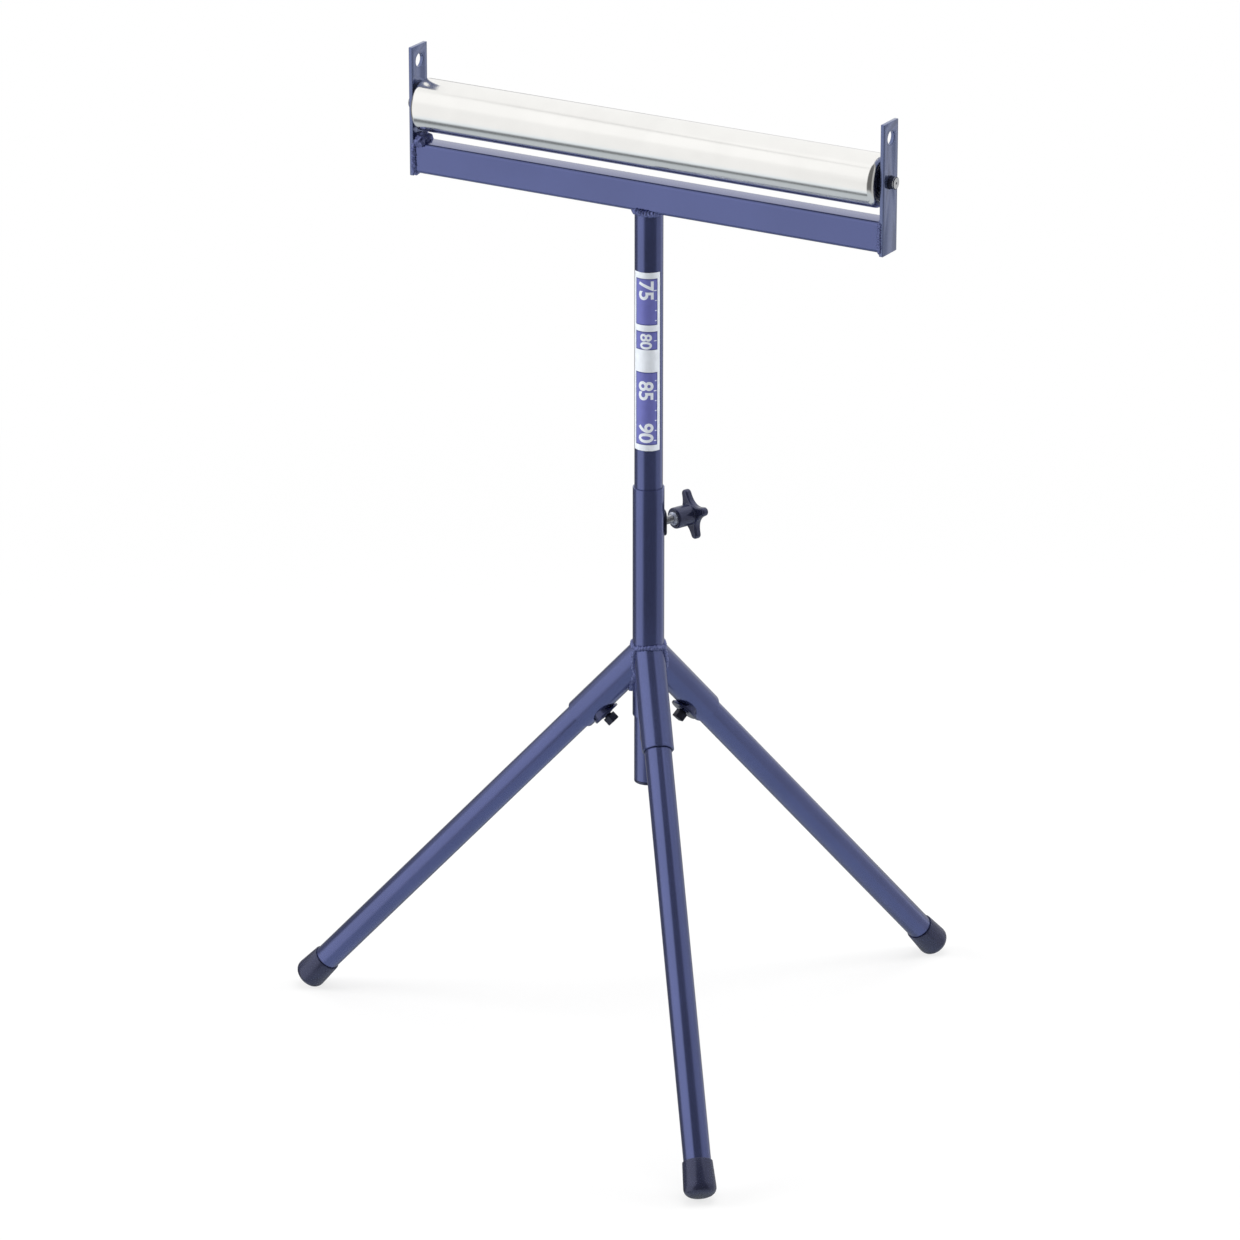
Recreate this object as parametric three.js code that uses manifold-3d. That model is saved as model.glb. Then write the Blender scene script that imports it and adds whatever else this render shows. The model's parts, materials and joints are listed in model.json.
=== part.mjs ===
// Roller stand: a tripod with a sliding, swivelling mast that carries one work-support roller.
// Millimetres, +Z up. The origin is on the floor under the mast's axis, and +X runs along the roller.
import * as THREE from "three";
import { mergeVertices } from "three/addons/utils/BufferGeometryUtils.js";
import Module from "manifold-3d";

const wasm = await Module();
wasm.setup();

// Clearances
const SEAT_GAP = 0.3; // between a piece and what it is seated on
const MAST_SLIDE_GAP = 0.3; // radial, mast in post
const LEG_SLIDE_GAP = 0.5; // radial, leg in socket
const SEAL_RUNNING_GAP = 0.6; // radial, dust seal round its spacer bush
const RACE_GAP = 0.4; // ball to race and to cage

// Roller
const ROLLER_LENGTH = 500;
const ROLLER_DIAMETER = 51;
const ROLLER_WALL = 1.5;
const ROLLER_SHOULDER = 5; // outer round where the tube's ends are rolled inwards
const ROLLER_LIP = 1.7; // flat ring that a rolled end leaves

// Axle, its spring and clips
const AXLE_DIAMETER = 12;
const AXLE_STICKOUT = 6;
const AXLE_CHAMFER = 0.8;
const CLIP_GROOVE_DEPTH = 1;
const CLIP_THICKNESS = 1.2;
const CLIP_RIM = 2.6; // how far a clip stands out of the axle
const CLIP_OPENING = THREE.MathUtils.degToRad(70);
const WASHER_THICKNESS = 1;
const SPRING_LENGTH = 36;
const SPRING_WIRE = 1.5;
const SPRING_TURNS = 7;

// Bearings
const BEARING_DIAMETER = 32;
const BEARING_WIDTH = 10;
const BALL_DIAMETER = 5.4;
const BALL_COUNT = 7;
const RACE_DEPTH = 1;
const CAGE_WALL = 1.6;
const CAGE_WIDTH = 8.6;
const SEAL_THICKNESS = 1.6;
const HOUSING_FLOOR = 3;
const HOUSING_SHOULDER = 2.5; // how far the housing's floor reaches over the outer ring

// Head: beam and ears
const BEAM_HEIGHT = 30;
const BEAM_WIDTH = 25;
const BEAM_WALL = 2;
const BEAM_CORNER = 4;
const BEAM_INNER_CORNER = 2;
const BEAM_UNDERSIDE = 859; // height of the beam above the floor at the clamp setting shown
const EAR_WIDTH = 27;
const EAR_THICKNESS = 4;
const EAR_LENGTH = 127;
const EAR_BELOW_BEAM = 2.5;
const EAR_GAP = 3; // roller end to ear
const AXLE_ABOVE_BEAM = 36.4; // axle centre above the beam's top
const GUIDE_HOLE_DIAMETER = 13.5;
const GUIDE_HOLE_DROP = 15.2; // hole centre below the ear's top

// Mast and post
const MAST_DIAMETER = 27.4;
const MAST_WALL = 1.5;
const MAST_LENGTH = 578;
const PLUG_FLANGE = 2.7;
const PLUG_STEM = 16;
const PLUG_WALL = 2.2;
const PLUG_EDGE = 1;
const POST_WALL = 1.3;
const POST_LENGTH = 234;
const POST_BELOW_JUNCTION = 67.4; // post's lower end below the point where the leg axes meet

// Legs, sockets and feet
const LEG_COUNT = 3;
const LEG_NAMES = ["front", "right", "left"];
const FRONT_LEG_AZIMUTH = THREE.MathUtils.degToRad(-52.3);
const LEG_TILT = THREE.MathUtils.degToRad(42.24); // from vertical
const LEG_REACH = 550; // along the leg's axis, from the mast's axis to the end of the foot cap
const LEG_DIAMETER = 26.2;
const LEG_WALL = 1.5;
const SOCKET_WALL = 1.9;
const SOCKET_END = 105.5; // along the leg's axis, from the mast's axis
const FOOT_LENGTH = 32.5;
const FOOT_RIM_WALL = 1;
const FOOT_RIM_EDGE = 0.5;
const FOOT_FLARE = 1.8; // how much wider the cap is at its end than at its rim, on the radius
const FOOT_EDGE = 5;
const FOOT_FLOOR = 4;
const SOLE_FLAT_DEPTH = 0.8; // how deep the floor flattens each foot's lowest edge

// Clamps
const SADDLE_DIAMETER = 27.5; // round nut plate that is bent round the post
const SADDLE_THICKNESS = 2.2;
const FLANGE_DIAMETER = 28; // flat round nut plate under each socket
const FLANGE_THICKNESS = 3;
const NUT_BOSS_WALL = 2.5;
const SCREW_TIP_CHAMFER = 0.6;
const LEG_SCREW_DIAMETER = 8;
const LEG_SCREW_FROM_END = 21.5; // clamp screw's axis to the socket's lower end
const LEG_SCREW_NECK = 1;
const LEG_SCREW_HEAD = 9.5; // across flats
const LEG_SCREW_HEAD_HEIGHT = 8;
const LEG_SCREW_HEAD_CHAMFER = 0.8;
const LEG_SCREW_TURN = THREE.MathUtils.degToRad(18);
const STUD_DIAMETER = 8;
const KNOB_BELOW_POST_TOP = 39.5;
const KNOB_STANDOFF = 12.8; // knob to nut
const KNOB_HUB_DIAMETER = 20;
const KNOB_HUB_LENGTH = 18;
const KNOB_DIAMETER = 49;
const KNOB_ARM_WIDTH = 8.6;
const KNOB_ARM_THICKNESS = 7;
const KNOB_ARM_COUNT = 4;
const KNOB_VALLEY_RADIUS = 6;
const KNOB_BEVEL = 1.4;
const KNOB_BEVEL_STEPS = 2;
const KNOB_TURN = THREE.MathUtils.degToRad(-21.5);
const INSERT_WALL = 2.4;
const INSERT_LENGTH = 16;
const INSERT_SHOW = 1.2; // how far the insert stands out of the hub

const WELD_TOLERANCE = 1e-4; // points nearer than this are one point

// Facets round each kind of round piece
const TUBE_SIDES = 32;
const RING_SIDES = 24;
const SMALL_SIDES = 16;
const HOLE_SIDES = 24;
const POCKET_SIDES = 10;
const CAGE_SIDES_PER_BALL = 3;
const BALL_SIDES = 8;
const BALL_RINGS = 5;
const ARC_STEPS = 4;
const WIRE_SIDES = 6;
const SPRING_STEPS_PER_TURN = 10;

// Sizes worked out from the driving dimensions
const rollerRadius = ROLLER_DIAMETER / 2;
const rollerBore = rollerRadius - ROLLER_WALL;
const rollerHalf = ROLLER_LENGTH / 2;
const shoulderStart = rollerHalf - ROLLER_SHOULDER; // along the axle, from the roller's middle
const shoulderCentre = rollerRadius - ROLLER_SHOULDER;
const axleRadius = AXLE_DIAMETER / 2;
const onAxleRadius = axleRadius + SEAT_GAP;
const bearingRadius = BEARING_DIAMETER / 2;
const ballRadius = BALL_DIAMETER / 2;
const pitchRadius = (onAxleRadius + bearingRadius) / 2;
const raceRadius = ballRadius + RACE_GAP;
const innerRingRadius = pitchRadius - raceRadius + RACE_DEPTH;
const outerRingBore = pitchRadius + raceRadius - RACE_DEPTH;
const sealFace = rollerHalf - ROLLER_WALL - SEAT_GAP;
const bearingFace = sealFace - SEAL_THICKNESS - SEAT_GAP;
const bearingBack = bearingFace - BEARING_WIDTH;
const bearingMiddle = bearingFace - BEARING_WIDTH / 2;
const earInner = rollerHalf + EAR_GAP;
const earOuter = earInner + EAR_THICKNESS;
const axleHalf = earOuter + AXLE_STICKOUT;
const axleHeight = BEAM_UNDERSIDE + BEAM_HEIGHT + AXLE_ABOVE_BEAM;
const earBottom = BEAM_UNDERSIDE - EAR_BELOW_BEAM;
const guideHoleHeight = earBottom + EAR_LENGTH - GUIDE_HOLE_DROP;

const mastRadius = MAST_DIAMETER / 2;
const mastBottom = BEAM_UNDERSIDE - MAST_LENGTH;
const postBore = mastRadius + MAST_SLIDE_GAP;
const postRadius = postBore + POST_WALL;

const legRadius = LEG_DIAMETER / 2;
const socketBore = legRadius + LEG_SLIDE_GAP;
const socketRadius = socketBore + SOCKET_WALL;
const footBore = legRadius + SEAT_GAP;
const footRimRadius = footBore + FOOT_RIM_WALL;
const footRadius = footRimRadius + FOOT_FLARE;
const footLowest =
  (LEG_REACH - FOOT_EDGE) * Math.cos(LEG_TILT) +
  (footRadius - FOOT_EDGE) * Math.sin(LEG_TILT) +
  FOOT_EDGE;
const junctionHeight = footLowest - SOLE_FLAT_DEPTH;
const postBottom = junctionHeight - POST_BELOW_JUNCTION;
const postTop = postBottom + POST_LENGTH;
const legStart = (postRadius + 2 * SEAT_GAP + legRadius * Math.cos(LEG_TILT)) / Math.sin(LEG_TILT);
const legEnd = LEG_REACH - FOOT_FLOOR - SEAT_GAP;
const legAzimuths = LEG_NAMES.map((_, i) => FRONT_LEG_AZIMUTH + (i * 2 * Math.PI) / LEG_COUNT);
const screwStation = SOCKET_END - LEG_SCREW_FROM_END;
const knobHeight = postTop - KNOB_BELOW_POST_TOP;
const knobAzimuth = legAzimuths[LEG_NAMES.indexOf("right")];
const knobStart = postRadius + SEAT_GAP + SADDLE_THICKNESS + KNOB_STANDOFF;

// Finishes
const finish = (color, roughness, metalness) =>
  new THREE.MeshStandardMaterial({ color, roughness, metalness });
const bluePaint = finish(0x4b5287, 0.35, 0.1);
const zincSteel = finish(0xd9dadc, 0.25, 1);
const brightSteel = finish(0xb9bcc2, 0.3, 1);
const blackSteel = finish(0x1d1f29, 0.45, 0.6);
const blackPlastic = finish(0x1a1e2e, 0.45, 0);
const blackRubber = finish(0x24262f, 0.7, 0);

// Drops everything but positions, welds the seams and removes the slivers that a pole or seam leaves.
function weld(geometry) {
  const bare = geometry.clone();
  for (const name of Object.keys(bare.attributes)) {
    if (name !== "position") bare.deleteAttribute(name);
  }
  const merged = mergeVertices(bare, WELD_TOLERANCE);
  const corners = merged.getIndex().array;
  const kept = [];
  for (let i = 0; i < corners.length; i += 3) {
    const [a, b, c] = [corners[i], corners[i + 1], corners[i + 2]];
    if (a !== b && b !== c && c !== a) kept.push(a, b, c);
  }
  merged.setIndex(kept);
  return merged;
}

function toSolid(geometry) {
  const welded = weld(geometry);
  const vertProperties = new Float32Array(welded.attributes.position.array);
  const triVerts = new Uint32Array(welded.getIndex().array);
  return new wasm.Manifold(new wasm.Mesh({ numProp: 3, vertProperties, triVerts }));
}

function toGeometry(solid) {
  const mesh = solid.getMesh();
  const geometry = new THREE.BufferGeometry();
  geometry.setAttribute("position", new THREE.BufferAttribute(mesh.vertProperties, 3));
  geometry.setIndex(new THREE.BufferAttribute(mesh.triVerts, 1));
  return geometry;
}

const cut = (body, ...tools) =>
  toGeometry(tools.reduce((rest, tool) => rest.subtract(toSolid(tool)), toSolid(body)));
const common = (body, tool) => toGeometry(toSolid(body).intersect(toSolid(tool)));
const join = (...bodies) => toGeometry(bodies.map(toSolid).reduce((sum, body) => sum.add(body)));

function piece(name, geometry, material) {
  const welded = weld(geometry);
  welded.computeVertexNormals();
  const mesh = new THREE.Mesh(welded, material);
  mesh.name = name;
  return mesh;
}

// A closed outline of [radius, z] points, run anticlockwise, turned about Z.
function turned(outline, sides) {
  const points = outline.map(([radius, z]) => new THREE.Vector2(radius, z));
  if (outline[0][0] > 0) points.push(points[0].clone());
  return new THREE.LatheGeometry(points, sides).rotateX(Math.PI / 2);
}

function tube(bore, radius, low, high, sides = TUBE_SIDES) {
  return turned([[bore, low], [radius, low], [radius, high], [bore, high]], sides);
}

function rod(radius, low, high, chamfer = 0, sides = SMALL_SIDES) {
  const end = radius - chamfer;
  return turned(
    [[0, low], [end, low], [radius, low + chamfer], [radius, high - chamfer], [end, high], [0, high]],
    sides,
  );
}

// Points of a quarter round from one [radius, z] direction to the next, about a centre.
function quarterRound(centre, radius, fromAngle) {
  return Array.from({ length: ARC_STEPS + 1 }, (_, i) => {
    const angle = fromAngle + (i / ARC_STEPS) * (Math.PI / 2);
    return [centre[0] + radius * Math.cos(angle), centre[1] + radius * Math.sin(angle)];
  });
}

// Roller, its bearings and axle are made along local Z, then laid along +X at the axle's height.
function makeRollerTube() {
  const lipBore = shoulderCentre - ROLLER_LIP;
  const lipBack = rollerHalf - ROLLER_WALL;
  const innerRound = ROLLER_SHOULDER - ROLLER_WALL;
  const low = [shoulderCentre, -shoulderStart];
  const high = [shoulderCentre, shoulderStart];
  const outline = [
    [lipBore, -lipBack],
    [lipBore, -rollerHalf],
    ...quarterRound(low, ROLLER_SHOULDER, -Math.PI / 2),
    ...quarterRound(high, ROLLER_SHOULDER, 0),
    [lipBore, rollerHalf],
    [lipBore, lipBack],
    ...quarterRound(high, innerRound, 0).reverse(),
    ...quarterRound(low, innerRound, -Math.PI / 2).reverse(),
  ];
  return piece("roller_tube", turned(outline, TUBE_SIDES), zincSteel);
}

// A bearing ring's groove, as an arc of the race's circle, from one shoulder to the other.
function raceArc(shoulder, inward) {
  const open = Math.acos(Math.abs(shoulder - pitchRadius) / raceRadius);
  const middle = inward ? Math.PI : 0;
  return Array.from({ length: ARC_STEPS + 1 }, (_, i) => {
    const angle = middle + open * (1 - (2 * i) / ARC_STEPS);
    return [pitchRadius + raceRadius * Math.cos(angle), bearingMiddle + raceRadius * Math.sin(angle)];
  });
}

function makeBearing(side) {
  const innerRing = turned(
    [[onAxleRadius, bearingBack], [innerRingRadius, bearingBack], ...raceArc(innerRingRadius, true),
      [innerRingRadius, bearingFace], [onAxleRadius, bearingFace]],
    RING_SIDES,
  );
  const outerRing = turned(
    [[bearingRadius, bearingBack], [bearingRadius, bearingFace], [outerRingBore, bearingFace],
      ...raceArc(outerRingBore, false), [outerRingBore, bearingBack]],
    RING_SIDES,
  );
  const ballAngle = (i) => (i * 2 * Math.PI) / BALL_COUNT;
  const pockets = Array.from({ length: BALL_COUNT }, (_, i) =>
    rod(raceRadius, pitchRadius - CAGE_WALL, pitchRadius + CAGE_WALL, 0, POCKET_SIDES)
      .rotateY(Math.PI / 2)
      .rotateZ(ballAngle(i))
      .translate(0, 0, bearingMiddle),
  );
  const cageRing = tube(
    pitchRadius - CAGE_WALL / 2,
    pitchRadius + CAGE_WALL / 2,
    bearingMiddle - CAGE_WIDTH / 2,
    bearingMiddle + CAGE_WIDTH / 2,
    BALL_COUNT * CAGE_SIDES_PER_BALL,
  );
  const balls = pockets.map((_, i) => {
    const sphere = new THREE.SphereGeometry(ballRadius, BALL_SIDES, BALL_RINGS);
    const ball = piece(`ball_${side}_${i + 1}`, sphere, brightSteel);
    const [x, y] = [Math.cos(ballAngle(i)), Math.sin(ballAngle(i))];
    ball.position.set(pitchRadius * x, pitchRadius * y, bearingMiddle);
    return ball;
  });
  return [
    piece(`bearing_inner_ring_${side}`, innerRing, brightSteel),
    piece(`bearing_outer_ring_${side}`, outerRing, brightSteel),
    piece(`ball_cage_${side}`, cut(cageRing, ...pockets), brightSteel),
    ...balls,
  ];
}

function makeRollerEnd(side) {
  const housingRadius = rollerBore - SEAT_GAP;
  const bearingSeat = bearingRadius + SEAT_GAP;
  const floorBore = bearingRadius - HOUSING_SHOULDER;
  const floorTop = bearingBack - SEAT_GAP;
  const floorLow = floorTop - HOUSING_FLOOR;
  const chamfer = Math.max(bearingFace - shoulderStart, 0); // clears the roller's rolled-in end
  const housing = turned(
    [[floorBore, floorLow], [housingRadius, floorLow], [housingRadius, bearingFace - chamfer],
      [housingRadius - chamfer, bearingFace], [bearingSeat, bearingFace], [bearingSeat, floorTop],
      [floorBore, floorTop]],
    RING_SIDES,
  );
  const bushRadius = innerRingRadius;
  const sealBore = bushRadius + SEAL_RUNNING_GAP;
  const sealRadius = shoulderCentre - SEAT_GAP;
  const seal = tube(sealBore, sealRadius, sealFace - SEAL_THICKNESS, sealFace, RING_SIDES);
  const bush = tube(onAxleRadius, bushRadius, bearingFace + SEAT_GAP, earInner - SEAT_GAP, RING_SIDES);
  return [
    piece(`bearing_housing_${side}`, housing, blackPlastic),
    piece(`dust_seal_${side}`, seal, blackPlastic),
    piece(`spacer_bush_${side}`, bush, blackPlastic),
    ...makeBearing(side),
  ];
}

// An open ring that snaps into a groove of the axle.
function makeClip(name, low) {
  const bore = axleRadius - CLIP_GROOVE_DEPTH + SEAT_GAP;
  const rim = axleRadius + CLIP_RIM;
  const shape = new THREE.Shape();
  shape.absarc(0, 0, rim, CLIP_OPENING / 2, 2 * Math.PI - CLIP_OPENING / 2, false);
  shape.absarc(0, 0, bore, 2 * Math.PI - CLIP_OPENING / 2, CLIP_OPENING / 2, true);
  const clip = new THREE.ExtrudeGeometry(shape, {
    depth: CLIP_THICKNESS,
    bevelEnabled: false,
    curveSegments: SMALL_SIDES / 2,
  });
  return piece(name, clip.translate(0, 0, low), brightSteel);
}

class SpringCurve extends THREE.Curve {
  constructor(radius, low, high, turns) {
    super();
    Object.assign(this, { radius, low, high, turns });
  }

  getPoint(t, target = new THREE.Vector3()) {
    const angle = t * this.turns * 2 * Math.PI;
    const z = this.low + t * (this.high - this.low);
    return target.set(this.radius * Math.cos(angle), this.radius * Math.sin(angle), z);
  }
}

function makeAxleSet() {
  const washerLow = -bearingBack + SEAT_GAP;
  const washerHigh = washerLow + WASHER_THICKNESS;
  const springLow = washerHigh + SEAT_GAP;
  const springClipLow = springLow + SPRING_LENGTH + SEAT_GAP;
  const stopClipLow = bearingBack - SEAT_GAP - CLIP_THICKNESS;
  const grooveRadius = axleRadius - CLIP_GROOVE_DEPTH;
  const groove = (clipLow) => {
    const low = clipLow - SEAT_GAP;
    const high = clipLow + CLIP_THICKNESS + SEAT_GAP;
    return [[axleRadius, low], [grooveRadius, low], [grooveRadius, high], [axleRadius, high]];
  };
  const axle = turned(
    [[0, -axleHalf], [axleRadius - AXLE_CHAMFER, -axleHalf], [axleRadius, -axleHalf + AXLE_CHAMFER],
      ...groove(springClipLow), ...groove(stopClipLow),
      [axleRadius, axleHalf - AXLE_CHAMFER], [axleRadius - AXLE_CHAMFER, axleHalf], [0, axleHalf]],
    RING_SIDES,
  );
  const wire = new THREE.Shape().absarc(0, 0, SPRING_WIRE / 2, 0, 2 * Math.PI, false);
  const coilRadius = onAxleRadius + SPRING_WIRE / 2;
  const path = new SpringCurve(
    coilRadius,
    springLow + SPRING_WIRE,
    springLow + SPRING_LENGTH - SPRING_WIRE,
    SPRING_TURNS,
  );
  const spring = new THREE.ExtrudeGeometry(wire, {
    steps: SPRING_TURNS * SPRING_STEPS_PER_TURN,
    curveSegments: WIRE_SIDES / 2,
    extrudePath: path,
  });
  const washer = tube(onAxleRadius, innerRingRadius, washerLow, washerHigh, RING_SIDES);
  return [
    piece("roller_axle", axle, blackSteel),
    piece("axle_spring", spring, brightSteel),
    piece("spring_washer", washer, brightSteel),
    makeClip("spring_clip", springClipLow),
    makeClip("stop_clip", stopClipLow),
  ];
}

function makeRollerGroup() {
  const group = new THREE.Group();
  group.position.z = axleHeight;
  group.rotation.y = Math.PI / 2;
  const mirrored = new THREE.Group();
  mirrored.rotation.x = Math.PI;
  mirrored.add(...makeRollerEnd("left"));
  group.add(makeRollerTube(), ...makeRollerEnd("right"), mirrored, ...makeAxleSet());
  return group;
}

// Head
function roundedRectangle(width, height, corner) {
  const [x, y] = [width / 2 - corner, height / 2 - corner];
  const shape = new THREE.Shape();
  shape.absarc(x, y, corner, 0, Math.PI / 2, false);
  shape.absarc(-x, y, corner, Math.PI / 2, Math.PI, false);
  shape.absarc(-x, -y, corner, Math.PI, 1.5 * Math.PI, false);
  shape.absarc(x, -y, corner, 1.5 * Math.PI, 2 * Math.PI, false);
  return shape;
}

function makeBeam() {
  const section = roundedRectangle(BEAM_HEIGHT, BEAM_WIDTH, BEAM_CORNER);
  section.holes.push(
    roundedRectangle(BEAM_HEIGHT - 2 * BEAM_WALL, BEAM_WIDTH - 2 * BEAM_WALL, BEAM_INNER_CORNER),
  );
  const bar = new THREE.ExtrudeGeometry(section, {
    depth: 2 * earInner,
    bevelEnabled: false,
    curveSegments: ARC_STEPS,
  });
  const beam = piece("cross_beam", bar.translate(0, 0, -earInner).rotateY(Math.PI / 2), bluePaint);
  beam.position.z = BEAM_UNDERSIDE + BEAM_HEIGHT / 2;
  return beam;
}

function makeEar(side, sign) {
  const face = new THREE.Shape();
  face.moveTo(-EAR_WIDTH / 2, earBottom);
  face.lineTo(EAR_WIDTH / 2, earBottom);
  face.lineTo(EAR_WIDTH / 2, earBottom + EAR_LENGTH);
  face.lineTo(-EAR_WIDTH / 2, earBottom + EAR_LENGTH);
  face.closePath();
  const holes = [[axleHeight, onAxleRadius], [guideHoleHeight, GUIDE_HOLE_DIAMETER / 2]];
  for (const [height, radius] of holes) {
    face.holes.push(new THREE.Path().absarc(0, height, radius, 0, 2 * Math.PI, true));
  }
  const plate = new THREE.ExtrudeGeometry(face, {
    depth: EAR_THICKNESS,
    bevelEnabled: false,
    curveSegments: HOLE_SIDES / 2,
  });
  plate.translate(0, 0, sign > 0 ? earInner : -earOuter);
  // The face was drawn in Y and Z: stand it up, with its thickness along X.
  const stand = new THREE.Matrix4().makeBasis(
    new THREE.Vector3(0, 1, 0),
    new THREE.Vector3(0, 0, 1),
    new THREE.Vector3(1, 0, 0),
  );
  return piece(`ear_${side}`, plate.applyMatrix4(stand), bluePaint);
}

function makeMast() {
  const bore = mastRadius - MAST_WALL;
  const flangeTop = mastBottom - SEAT_GAP;
  const flangeLow = flangeTop - PLUG_FLANGE;
  const stemRadius = bore - SEAT_GAP;
  const stemTop = flangeTop + PLUG_STEM;
  const plug = turned(
    [[0, flangeLow], [mastRadius - PLUG_EDGE, flangeLow], [mastRadius, flangeLow + PLUG_EDGE],
      [mastRadius, flangeTop], [stemRadius, flangeTop], [stemRadius, stemTop],
      [stemRadius - PLUG_WALL, stemTop], [stemRadius - PLUG_WALL, flangeTop], [0, flangeTop]],
    RING_SIDES,
  );
  return [
    piece("mast_tube", tube(bore, mastRadius, mastBottom, BEAM_UNDERSIDE), bluePaint),
    piece("mast_end_plug", plug, blackPlastic),
  ];
}

const alongX = (geometry) => geometry.rotateY(Math.PI / 2);

// A nut's plate, with a threaded boss that is let into a hole in the wall of a tube that runs along Z.
// The thread runs along X.
function weldNut(plate, threadDiameter, tubeRadius, wall) {
  const bore = threadDiameter / 2 + SEAT_GAP;
  const bossStart = tubeRadius - wall + SEAT_GAP;
  const bossEnd = tubeRadius + SEAT_GAP + SADDLE_THICKNESS;
  const boss = alongX(rod(bore + NUT_BOSS_WALL, bossStart, bossEnd));
  return cut(join(plate, boss), alongX(rod(bore, 0, 2 * tubeRadius)));
}

// A round plate bent round the tube.
function saddlePlate(tubeRadius) {
  const radius = SADDLE_DIAMETER / 2;
  const inner = tubeRadius + SEAT_GAP;
  const outer = inner + SADDLE_THICKNESS;
  return common(tube(inner, outer, -radius, radius), alongX(rod(radius, 0, 2 * outer, 0, RING_SIDES)));
}

// A flat round plate that rests on the tube's side.
function flangePlate(tubeRadius) {
  const inner = tubeRadius + SEAT_GAP;
  return alongX(rod(FLANGE_DIAMETER / 2, inner, inner + FLANGE_THICKNESS, 0, RING_SIDES));
}

const nutHole = (threadDiameter, tubeRadius) =>
  alongX(rod(threadDiameter / 2 + 2 * SEAT_GAP + NUT_BOSS_WALL, 0, 2 * tubeRadius));

// Post, with the hole that the mast clamp's nut is let into.
function makePost() {
  const hole = nutHole(STUD_DIAMETER, postRadius).rotateZ(knobAzimuth).translate(0, 0, knobHeight);
  return piece("outer_post", cut(tube(postBore, postRadius, postBottom, postTop), hole), bluePaint);
}

// Mast clamp, along local Z, which points out of the post.
function knobArms() {
  const reach = KNOB_DIAMETER / 2 - KNOB_ARM_WIDTH / 2;
  const shape = new THREE.Shape();
  for (let i = 0; i < KNOB_ARM_COUNT; i += 1) {
    const angle = (i * 2 * Math.PI) / KNOB_ARM_COUNT;
    const next = angle + (2 * Math.PI) / KNOB_ARM_COUNT;
    const valley = (angle + next) / 2;
    shape.absarc(
      reach * Math.cos(angle),
      reach * Math.sin(angle),
      KNOB_ARM_WIDTH / 2,
      angle - Math.PI / 2,
      angle + Math.PI / 2,
      false,
    );
    shape.quadraticCurveTo(
      KNOB_VALLEY_RADIUS * Math.cos(valley),
      KNOB_VALLEY_RADIUS * Math.sin(valley),
      reach * Math.cos(next) + (KNOB_ARM_WIDTH / 2) * Math.cos(next - Math.PI / 2),
      reach * Math.sin(next) + (KNOB_ARM_WIDTH / 2) * Math.sin(next - Math.PI / 2),
    );
  }
  const depth = KNOB_ARM_THICKNESS - 2 * KNOB_BEVEL;
  const arms = new THREE.ExtrudeGeometry(shape, {
    depth,
    bevelThickness: KNOB_BEVEL,
    bevelSize: KNOB_BEVEL,
    bevelOffset: -KNOB_BEVEL,
    bevelSegments: KNOB_BEVEL_STEPS,
    curveSegments: ARC_STEPS,
  });
  return arms.rotateZ(KNOB_TURN).translate(0, 0, knobStart + KNOB_HUB_LENGTH + KNOB_BEVEL);
}

function makeClamp() {
  const clamp = new THREE.Group();
  clamp.position.z = knobHeight;
  clamp.rotation.set(0, Math.PI / 2, knobAzimuth, "ZYX");
  const studRadius = STUD_DIAMETER / 2;
  const insertBore = studRadius + SEAT_GAP;
  const insertRadius = insertBore + INSERT_WALL;
  const insertLow = knobStart - INSERT_SHOW;
  const insertTop = knobStart + INSERT_LENGTH;
  const hubTop = knobStart + KNOB_HUB_LENGTH + KNOB_ARM_THICKNESS / 2;
  const hub = rod(KNOB_HUB_DIAMETER / 2, knobStart, hubTop, 0, SMALL_SIDES);
  const insertHole = rod(insertRadius + SEAT_GAP, knobStart - KNOB_HUB_LENGTH, insertTop + SEAT_GAP);
  const postNut = weldNut(saddlePlate(postRadius), STUD_DIAMETER, postRadius, POST_WALL);
  clamp.add(
    piece("post_nut", postNut.rotateY(-Math.PI / 2), blackSteel),
    piece("clamp_stud", rod(studRadius, mastRadius + SEAT_GAP, insertTop, SCREW_TIP_CHAMFER), brightSteel),
    piece("knob_insert", tube(insertBore, insertRadius, insertLow, insertTop, SMALL_SIDES), brightSteel),
    piece("star_knob", cut(join(hub, knobArms()), insertHole), blackPlastic),
  );
  return clamp;
}

// One leg with its socket, clamp and foot. Local Z runs down the leg from the point on the mast's axis
// where the legs meet, and local X points out of the leg's underside.
const uprightToLeg = (geometry) => geometry.rotateY(LEG_TILT - Math.PI);

function makeSocket(name) {
  const postClear = uprightToLeg(
    rod(postRadius + SEAT_GAP, -2 * SOCKET_END, 2 * SOCKET_END, 0, TUBE_SIDES),
  );
  const screwHole = nutHole(LEG_SCREW_DIAMETER, socketRadius).translate(0, 0, screwStation);
  const half = Math.PI / LEG_COUNT;
  // Everything past the upright planes halfway to the neighbouring sockets
  const beyond = [1, -1].map((sign) => {
    const block = new THREE.BoxGeometry(4 * SOCKET_END, 4 * SOCKET_END, 4 * SOCKET_END);
    block.translate(0, sign * (2 * SOCKET_END - SEAT_GAP / 2), 0).rotateZ(sign * half);
    return uprightToLeg(block);
  });
  const socket = tube(socketBore, socketRadius, 0, SOCKET_END);
  return piece(`leg_socket_${name}`, cut(socket, postClear, screwHole, ...beyond), bluePaint);
}

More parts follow.
